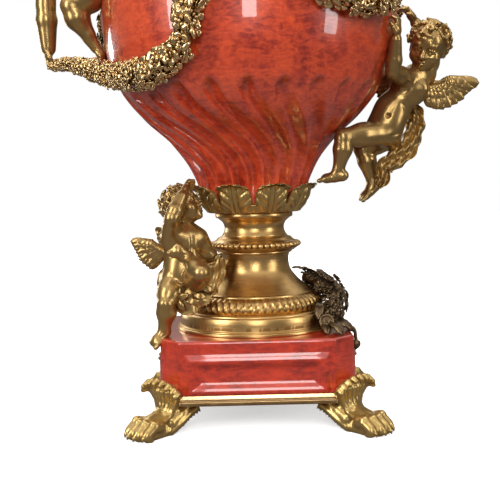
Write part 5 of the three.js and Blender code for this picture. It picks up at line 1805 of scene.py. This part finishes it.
@dataclass
class Paws:
    """The four lion's paws under the plinth's corners."""

    corner: float = 113.49
    voxel: float = 1.3
    ridges: int = 7
    lobes: int = 9
    toe_reach: float = 46.0

    def paw(self) -> Patch:
        """One paw along +X: fluted leg, rolled crest, toes with knuckles and claws, and a back leaf."""
        c, under = self.corner, node_base("base_frame")
        crest = under + 13.0
        clay = Clay((c - 38, -36, -4), (c + 60, 36, 62), self.voxel)
        clay.chain(
            [(c + 1, 0, crest), (c + 2, 0, under), (c + 9, 0, 15), (c + 26, 0, 10.5)], [7, 7.5, 8.5, 8.5], 3
        )
        for x, half, height, r in ((5, 15, crest, 3.4), (3, 9, crest - 9, 4.6), (2, 6, under - 4, 5.6)):
            clay.limb((c + x, -half, height), (c + x, half, height), r, r, 3)
        for t in np.linspace(-1, 1, self.ridges):
            out = 1 - t * t
            ridge = [
                (c + 8.5 + 2.5 * out, 20 * t, crest + 1), (c + 6.5 + 2.5 * out, 14.5 * t, crest - 8),
                (c + 8 + 3.0 * out, 10.5 * t, under - 3), (c + 12 + 3.5 * out, 10.0 * t, 17.0),
                (c + 22 + 3.0 * out, 12.0 * t, 13.0),
            ]
            clay.chain(ridge, [2.9, 2.4, 2.3, 2.6, 2.8], 0.7)
        for k in range(4):
            t = k - 1.5
            y, reach = t * 8.4, c + self.toe_reach - abs(t) * 3.4
            clay.chain(
                [(c + 25, y * 0.92, 11.5), (reach - 10, y, 12.6), (reach - 2, y, 7.2)], [5.6, 5.0, 4.6], 0.9
            )
            clay.egg((reach - 10.0, y, 15.4), (5.0, 3.8, 3.2), None, 1.2)
            clay.limb((reach - 1, y, 5.0), (reach - 4, y, 2.0), 4.4, 4.2, 1.2)
            clay.chain(
                [(reach + 1.4, y, 6.8), (reach + 4.0, y, 4.0), (reach + 4.4, y, 1.4)], [2.0, 1.4, 0.8], 0.6
            )
        clay.limb((c + 14, 0, 3), (c + 30, 0, 3), 12.0, 13.0, 2.0)
        for k in range(self.lobes):
            angle = math.pi * (k + 0.5) / self.lobes
            y, up = 22.5 * math.cos(angle), 12.0 * math.sin(angle)
            lip = (c + 10.0 + 0.50 * up, y, crest - 0.5 + up)
            clay.chain(
                [(c + 5.5, 0.45 * y, crest - 7), (c + 6.0 + 0.3 * up, 0.85 * y, crest - 2 + 0.7 * up), lip],
                [2.6, 2.9, 3.1], 0.7,
            )
            clay.limb(lip, (lip[0] + 3.6, lip[1] * 1.04, lip[2] - 1.8), 3.0, 2.5, 0.7)
        for y in np.linspace(-13, 13, 5):
            path = np.array([
                (c - 19, 1.05 * y, under - 4.5), (c - 9, y, under - 8.5), (c, 0.9 * y, 10.5),
                (c + 11, 0.8 * y, 4.5),
            ])
            clay.chain(list(path), [2.2, 3.4, 4.4, 4.6], 0.6)
            clay.chain(
                [(c - 9, 0.8 * y, under - 3), (c - 1, 0.75 * y, under - 8), (c + 9, 0.7 * y, 11)],
                [3.4, 4.6, 6.0], 1.2,
            )
            for point in spline(path, 3)[:-1]:
                clay.limb(point - (1, 0, 1.2), point + (-2.6, 0.08 * y, -3.8), 2.0, 1.0, 0.5)
        clay.keep_above(0.0)
        return clay.patch()

    def build(self) -> None:
        """The same paw at each corner."""
        paw = self.paw()
        for name, turn in (
            ("front_right", -45), ("back_right", 45), ("back_left", 135), ("front_left", -135)
        ):
            make_piece(f"paw_{name}_cast", paw.turned(turn), GILT, [f"paw_{name}"], rounds=6, reach=0.7)


class Bloom:
    """Small shapes that garlands are made of, each in its own frame with z outwards."""

    @staticmethod
    def petal(start: float, end: float, half: float, thick: float, rise: float, fine: int) -> Patch:
        """A puffed petal along x: an egg whose length bends up, grooved along its middle.

        Args:
            start: Where it begins from the flower's middle.
            end: Where it ends.
            half: Half its width.
            thick: Half its thickness.
            rise: How far its end stands up.
            fine: How many points go round it.

        Returns:
            The closed petal.
        """
        around = np.linspace(0, 2 * np.pi, fine, endpoint=False)[:, None]
        along = np.linspace(0, np.pi, 6)[None, :]
        share = (1 - np.cos(along)) / 2
        full = np.sin(along) ** 0.8 * (0.62 + 0.5 * share)
        x = start + (end - start) * share + 0 * around
        y = half * full * np.cos(around)
        groove = 0.30 * thick * full * np.exp(-((y / (0.25 * half)) ** 2)) * (np.sin(around) > 0.1)
        cupped = 0.9 * thick * (y / half) ** 2
        z = thick * full * np.sin(around) + cupped + rise * share**1.4 - groove - 0.45 * rise * share**5
        # Painted shade on the underside and towards the heart, painted highlight towards the tip
        shade = 0.6 * (np.sin(around) < -0.1) + 0.75 * (1 - share) ** 1.5 - 0.25 * share
        return Patch.grid(np.stack([x, y, z], -1), closed_u=True, shade=shade)

    @staticmethod
    def flower(radius: float) -> Patch:
        """Five broad cupped petals round a round heart; a large one also has three inner petals."""
        outer = Bloom.petal(0.12 * radius, radius, 0.47 * radius, 0.12 * radius, 0.34 * radius, 6)
        parts = [outer.turned(72 * k) for k in range(5)]
        if radius > 5.5:
            inner = Bloom.petal(
                0.06 * radius, 0.50 * radius, 0.27 * radius, 0.10 * radius, 0.30 * radius, 5
            )
            parts += [
                Patch(p.points + np.array([0, 0, 0.16 * radius]), p.quads, p.shade)
                for p in (inner.turned(120 * k + 36) for k in range(3))
            ]
        around = np.linspace(0, 2 * np.pi, 6, endpoint=False)[:, None]
        up = np.array([[-1.0, -0.1, 0.6, 1.0]])
        r = radius * 0.19 * np.sqrt(np.maximum(1 - up**2, 0))
        heart = np.stack(
            [r * np.cos(around), r * np.sin(around), radius * (0.36 + 0.16 * up) + 0 * around], -1
        )
        # Painted shade under the heart, painted highlight on its top
        parts.append(Patch.grid(heart, closed_u=True, shade=np.array([[0.8, 0.5, 0.0, -0.2]])))
        return Patch.join(parts)

    @staticmethod
    def leaf(length: float, width: float, droop: float = 0.25) -> Patch:
        """A pointed leaf along x with a rib and slanting side veins, its tip drooping."""
        u, v = np.linspace(-1, 1, 5)[:, None], np.linspace(0, 1, 8)[None, :]
        half = width * np.sin(np.pi * np.clip(v * 0.93 + 0.07, 0, 1)) ** 0.75
        groove = 0.34 * width * (1 - np.exp(-((u / 0.22) ** 2)))
        veins = 0.09 * width * np.sin(np.pi * (7 * v - 2.5 * np.abs(u))) * np.abs(u) ** 0.5
        bow = 0.16 * length * np.sin(np.pi * v)
        z = groove + veins - 0.34 * width * u * u - droop * length * v**2 + bow
        front = np.stack([v * length + 0 * u, half * u, z], -1)
        back = front - np.array([0, 0, 0.24 * width + 0.4])
        ring = np.concatenate([front[::-1], back], axis=0)
        # Painted shade along the midrib groove and over the back; the rest of the front a little lighter
        shade = np.concatenate([0.5 * np.exp(-((u / 0.18) ** 2)) - 0.15, 0.5 + 0 * u], axis=0)
        return Patch.grid(capped(ring), closed_u=True, shade=shade)

    @staticmethod
    def bud(length: float, radius: float) -> Patch:
        """A ribbed bud along x."""
        angle = np.linspace(0, 2 * np.pi, 10, endpoint=False)[:, None]
        v = np.linspace(0, 1, 6)[None, :]
        r = radius * np.sin(np.pi * v**0.8) ** 0.7 * (1 + 0.16 * np.cos(5 * angle))
        points = np.stack([v * length + 0 * angle, -r * np.cos(angle), r * np.sin(angle)], -1)
        return Patch.grid(points[::-1], closed_u=True)


@dataclass
class Swag:
    """A garland: a core along stations of x, y, z and radius, thick with flowers and leaves."""

    name: str
    node: str
    finish: Finish
    stations: Sequence[Vec]
    spacing: float = 1.55
    bloom: float = 0.82
    rows: Sequence[float] = (-76, 4, 84)
    leaf_every: float = 6.0
    leaf_length: float = 15.0
    facing: float = 0.7
    seed: int = 5
    centre: Vec = (0, 0)

    def build(self) -> bpy.types.Object:
        """Core, flowers in rows round it, and leaves and buds that hang from it."""
        luck = np.random.default_rng(self.seed)
        path = spline(self.stations, 14)
        centre = path[:, :3]
        radius = path[:, 3] * (
            1 + 0.10 * np.sin(np.arange(len(path)) * 0.62) + 0.06 * np.sin(np.arange(len(path)) * 0.23)
        )
        step = np.gradient(centre, axis=0)
        along = unit_rows(step)
        out = centre * np.array([1.0, 1.0, 0]) - np.array([*self.centre, 0])
        out = unit_rows(out - along * (out * along).sum(1)[:, None])
        beside = np.cross(along, out)
        length = np.concatenate([[0], np.cumsum(np.linalg.norm(np.diff(centre, axis=0), axis=1))])
        # The core gets full painted shade, as it lies deep among the flowers
        parts = [cord(centre[::3], radius[::3] * 0.62, 1.0)]

        def frame_at(where: float) -> tuple[np.ndarray, ...]:
            """Centre, radius, along, out and beside at a length."""
            k = int(np.clip(np.searchsorted(length, where), 0, len(length) - 1))
            return centre[k], radius[k], along[k], out[k], beside[k]

        where = 0.0
        while where < length[-1]:
            size = float(np.clip(self.bloom * frame_at(where)[1], 3.0, 10.0))
            for k, row in enumerate(self.rows):
                c, r, _, n, b = frame_at(where + (k % 2) * size * self.spacing / 2 + luck.normal() * 0.6)
                angle = math.radians(row + luck.normal() * 8)
                side = math.cos(angle) * n + math.sin(angle) * b
                way = unit(side + self.facing * n + 0.16 * luck.normal(size=3))
                big = size * luck.uniform(0.78, 1.12)
                spin = unit(np.cross(way, luck.normal(size=3)))
                axes = np.stack([spin, np.cross(way, spin), way])
                raised = -0.42 if k != 1 else -0.20
                parts.append(Bloom.flower(big).placed(axes, c + side * max(r + raised * big, 1.0)))
            where += size * self.spacing
        for where in np.arange(2, length[-1], self.leaf_every):
            for _ in range(2):
                c, r, t, n, b = frame_at(where + luck.normal() * 3)
                angle = luck.uniform(-1.5, 1.5)
                side = math.cos(angle) * n + math.sin(angle) * b
                sense = luck.choice([-1, 1])
                way = unit(t * sense + 0.35 * b * np.sign(angle) - 0.15 * side)
                lift = unit(side - way * np.dot(side, way))
                axes = np.stack([way, np.cross(lift, way), lift])
                size = self.leaf_length * luck.uniform(0.75, 1.15) * min(1.0, r / 9)
                if luck.random() < 0.8:
                    made = Bloom.leaf(size, size * luck.uniform(0.14, 0.19), 0.2)
                else:
                    made = Bloom.bud(size * 0.8, size * 0.18)
                parts.append(made.placed(axes, c + side * (r * 0.9)))
        swag = Patch.join(parts)
        # Painted shade deepens towards the core
        swag.shade = np.clip(swag.shade + self._depth_shade(swag.points, centre, radius), -1, 1)
        return make_piece(self.name, swag, self.finish, [self.node], merge=True, rounds=3, reach=0.6)

    @staticmethod
    def _depth_shade(points: np.ndarray, centre: np.ndarray, radius: np.ndarray) -> np.ndarray:
        """Painted shade for how deep each point lies among the flowers: 0 outside, up to 0.9 by the core.
        """
        depth = np.empty(len(points))
        for k in range(0, len(points), 4000):
            apart = np.linalg.norm(
                points[k : k + 4000, None] - centre[None, ::2], axis=2
            ) / radius[None, ::2]
            depth[k : k + 4000] = apart.min(1)
        return np.clip((0.88 - depth) * 2.4, 0, 0.9)


@dataclass
class Garlands:
    """The garland that the boys hold in front, the one behind, and the spray by the foot."""

    front: tuple = (
        (-191, -17, 345, 5), (-175.8, -22, 345, 6.5), (-153.8, -36, 339, 9), (-131.5, -57, 330, 11),
        (-112, -79, 325, 12.5), (-90, -103, 325.5, 13), (-74, -117, 332.5, 12.5), (-60, -129, 341, 11.5),
        (-53, -136, 353, 10.5), (-52, -139, 368, 11), (-42, -142.6, 390, 11), (-26, -142, 412, 10),
        (4, -136, 435, 12), (27, -140, 417, 10), (45, -141, 403, 11), (65, -137, 389, 12),
        (87, -123, 381, 12), (110, -103, 382, 11), (126, -82, 387, 8), (131.5, -74, 389.5, 5),
    )
    back: tuple = (
        (-147, 24, 401, 4.5), (-149, 27, 381, 5), (-147, 33, 360, 7), (-137, 54, 342, 9),
        (-110, 90, 328, 11),
        (-62, 121, 322, 11.5), (0, 135.5, 325, 11.5), (58, 131.5, 339, 11.5), (102, 108, 361, 11),
        (132, 71, 383, 9), (146, 38, 395, 7), (152, 20, 398, 4.5),
    )
    spray: tuple = (
        (48, 14, 47, 7), (58, 6, 44, 10), (69, -6, 38, 12.5), (78, -20, 31, 12.5), (76, -36, 21, 11),
        (70, -46, 13, 8),
    )

    def ends(self, lift: float) -> Patch:
        """The spray's tube end with its rings, the leaves that lie on the plinth, and the hanging bud.

        Args:
            lift: Height of the plinth's top.

        Returns:
            The pieces as one surface.
        """
        rings = [
            (0, -12), (5.2, -11), (6.2, -2.0), (7.2, 0.2), (7.0, 1.4), (5.8, 1.6), (5.0, -0.6), (3.6, -0.8)
        ]
        rings += [(3.0, 0.6), (2.2, 0.6), (1.7, -0.4), (1.2, 0.2), (0.7, 1.2), (0, 1.4)]
        tube = lathe(np.array(rings, dtype=float), 28)
        # Painted shade in the grooves between the rings and painted highlight on their rolls
        tube.shade = np.tile(
            [0.3, 0.3, 0.1, -0.3, -0.5, -0.3, 0.9, 0.8, -0.4, -0.3, 0.8, 0.2, -0.5, -0.5], 28
        )
        parts = [tube.placed(across_and_along((-0.10, -0.95, 0.22), (0, 0, 1)), (66, -60, lift + 11))]
        stalk = spline(
            [(62, -36, lift + 16), (70, -44, lift + 13), (72, -50, lift + 9), (78, -54, lift + 5)], 6
        )
        parts.append(cord(stalk, np.full(len(stalk), 4.2)))
        blades = (
            ((68, -50, 8), (80, -77, 3), 6.0), ((74, -46, 9), (92, -56, 3), 6.5),
            ((74, -42, 10), (91, -36, 3), 5.5),
            ((64, -50, 6), (66, -72, 3), 5.0), ((52, 12, 50), (38, 6, 58), 3.0),
            ((62, -40, 26), (58, -58, 14), 5.0),
        )
        for start, end, width in blades:
            root, way = np.array(start) + (0, 0, lift), np.subtract(end, start)
            axes = across_and_along(way, (0.1, -0.2, 1))[[2, 0, 1]]
            parts.append(Bloom.leaf(float(np.linalg.norm(way)), width, 0.10).placed(axes, root))
        hang = spline(
            [(84, -42, lift + 4), (93, -42, lift + 1), (95, -42, lift - 8), (95, -42, lift - 12)], 5
        )
        parts.append(cord(hang, np.full(len(hang), 1.8)))
        parts.append(Bloom.bud(11.0, 4.2).placed(
            across_and_along((0, 0, -1), (1, 0, 0))[[2, 0, 1]], (95, -42, lift - 9)
        ))
        return Patch.join(parts)

    def build(self) -> None:
        """All three."""
        Swag(
            "front_garland_end", "garland_front", LEAFAGE, self.front[:7], bloom=0.52, spacing=1.35,
            rows=(-150, -100, -50, 0, 50, 100), leaf_every=6.0, leaf_length=9.0, facing=0.2, seed=21,
        ).build()
        Swag("front_garland", "garland_front", LEAFAGE, self.front[5:]).build()
        Swag(
            "back_garland", "garland_back", LEAFAGE, self.back, spacing=2.0, rows=(-80, 0, 80),
            leaf_every=18.0, seed=9
        ).build()
        lift = node_top("plinth")
        spray = [(x, y, z + lift, r) for x, y, z, r in self.spray]
        Swag(
            "flower_spray_cast", "flower_spray", DARK, spray, spacing=1.45, bloom=0.46,
            rows=(-130, -78, -26, 26, 78, 130), leaf_every=9.0, leaf_length=13.0, seed=13, centre=(20, 10),
        ).build()
        make_piece(
            "flower_spray_ends", self.ends(lift), DARK, ["flower_spray"], merge=True, rounds=3, reach=0.5
        )


@dataclass
class Studio:
    """Floor, lights, world and the photograph's camera."""

    floor_size: float = 9000.0

    def floor(self) -> None:
        """A plain pale floor under the paws."""
        half = self.floor_size / 2
        mesh = bpy.data.meshes.new("floor")
        corners = [(-half, -half, 0), (half, -half, 0), (half, half, 0), (-half, half, 0)]
        mesh.from_pydata([tuple(c * MM for c in corner) for corner in corners], [], [(0, 1, 2, 3)])
        mesh.materials.append(Plaster("pale_floor", Slot.PORCELAIN).material())
        floor = bpy.data.objects.new("floor", mesh)
        bpy.context.scene.collection.objects.link(floor)

    def softbox(
        self, name: str, place: Vec, target: Vec, size: Vec, power: float, mirrored: bool = True
    ) -> None:
        """A rectangular light that faces a target.

        Args:
            name: The light's name.
            place: Where it stands, in millimetres.
            target: What it faces.
            size: Width and height in millimetres.
            power: Watts.
            mirrored: Whether shiny surfaces show it.
        """
        light = bpy.data.lights.new(name, "AREA")
        light.shape, light.size, light.size_y = "RECTANGLE", size[0] * MM, size[1] * MM
        light.energy = power
        lamp = bpy.data.objects.new(name, light)
        back = -unit(vec(target) - vec(place))
        side = unit(np.cross((0, 0, 1), back)) if abs(back[2]) < 0.999 else np.array([1.0, 0, 0])
        turn = np.stack([side, np.cross(back, side), back], 1)
        lamp.matrix_world = Matrix.Translation([c * MM for c in place]) @ Matrix(turn.tolist()).to_4x4()
        lamp.visible_camera = False
        lamp.visible_glossy = mirrored
        bpy.context.scene.collection.objects.link(lamp)

    def sky(self, strength: float) -> None:
        """A wide soft light from above that keeps the floor pale far out."""
        light = bpy.data.lights.new("sky", "SUN")
        light.energy, light.angle = strength, math.radians(110)
        lamp = bpy.data.objects.new("sky", light)
        bpy.context.scene.collection.objects.link(lamp)

    def world(self) -> None:
        """White behind the urn; a soft warm grey in its reflections."""
        world = bpy.data.worlds.new("studio")
        world.use_nodes = True
        tree = world.node_tree
        tree.nodes.clear()
        seen, lit = tree.nodes.new("ShaderNodeBackground"), tree.nodes.new("ShaderNodeBackground")
        seen.inputs[0].default_value, seen.inputs[1].default_value = (1, 1, 1, 1), 1.0
        lit.inputs[0].default_value, lit.inputs[1].default_value = (0.90, 0.80, 0.66, 1), 0.22
        path, mix = tree.nodes.new("ShaderNodeLightPath"), tree.nodes.new("ShaderNodeMixShader")
        out = tree.nodes.new("ShaderNodeOutputWorld")
        tree.links.new(path.outputs["Is Camera Ray"], mix.inputs[0])
        tree.links.new(lit.outputs[0], mix.inputs[1])
        tree.links.new(seen.outputs[0], mix.inputs[2])
        tree.links.new(mix.outputs[0], out.inputs[0])
        bpy.context.scene.world = world

    def camera(self) -> None:
        """The photograph's view: a long lens a little above the plinth, tilted down and rolled."""
        data = bpy.data.cameras.new("camera")
        data.sensor_width, data.lens, data.clip_end = 36.0, CAMERA_LENS, 30.0
        camera = bpy.data.objects.new("camera", data)
        place = (0.0, -CAMERA_DISTANCE, CAMERA_HEIGHT)
        pan = Matrix.Rotation(math.radians(CAMERA_YAW), 4, "Z")
        tilt = Matrix.Rotation(math.radians(90 - CAMERA_PITCH), 4, "X")
        roll = Matrix.Rotation(math.radians(CAMERA_ROLL), 4, "Z")
        camera.matrix_world = Matrix.Translation([c * MM for c in place]) @ pan @ tilt @ roll
        bpy.context.scene.collection.objects.link(camera)
        bpy.context.scene.camera = camera

    def build(self) -> None:
        """Sets everything up."""
        self.floor()
        self.world()
        self.camera()
        middle = (0, 0, 300)
        self.sky(1.5)
        self.softbox("left_key", (-1500, -1150, 900), middle, (500, 1500), 21)
        self.softbox("right_fill", (1650, -900, 600), middle, (360, 1400), 9)
        self.softbox("front_fill", (250, -2300, 1300), middle, (1500, 900), 26, mirrored=False)
        self.softbox("front_window", (15, -2097, 800), middle, (385, 1200), 12)
        self.softbox("left_edge", (-1380, 1450, 330), middle, (420, 620), 5)
        self.softbox("top", (0, -300, 1900), middle, (1300, 700), 11)
        self.softbox("back_rim", (-500, 1700, 1200), middle, (1600, 800), 9)
        bpy.context.scene.view_settings.view_transform = "Standard"


def main() -> None:
    """Builds the urn, its stage, camera and lights."""
    logging.basicConfig(level=logging.INFO, format="%(name)s: %(message)s")
    body = UrnBody()
    body.build()
    TurnedWork().build()
    Plinth().build()
    LeafCup().build()
    Paws().build()
    Figures(body).build()
    Garlands().build()
    Studio().build()


if __name__ == "__main__":
    main()
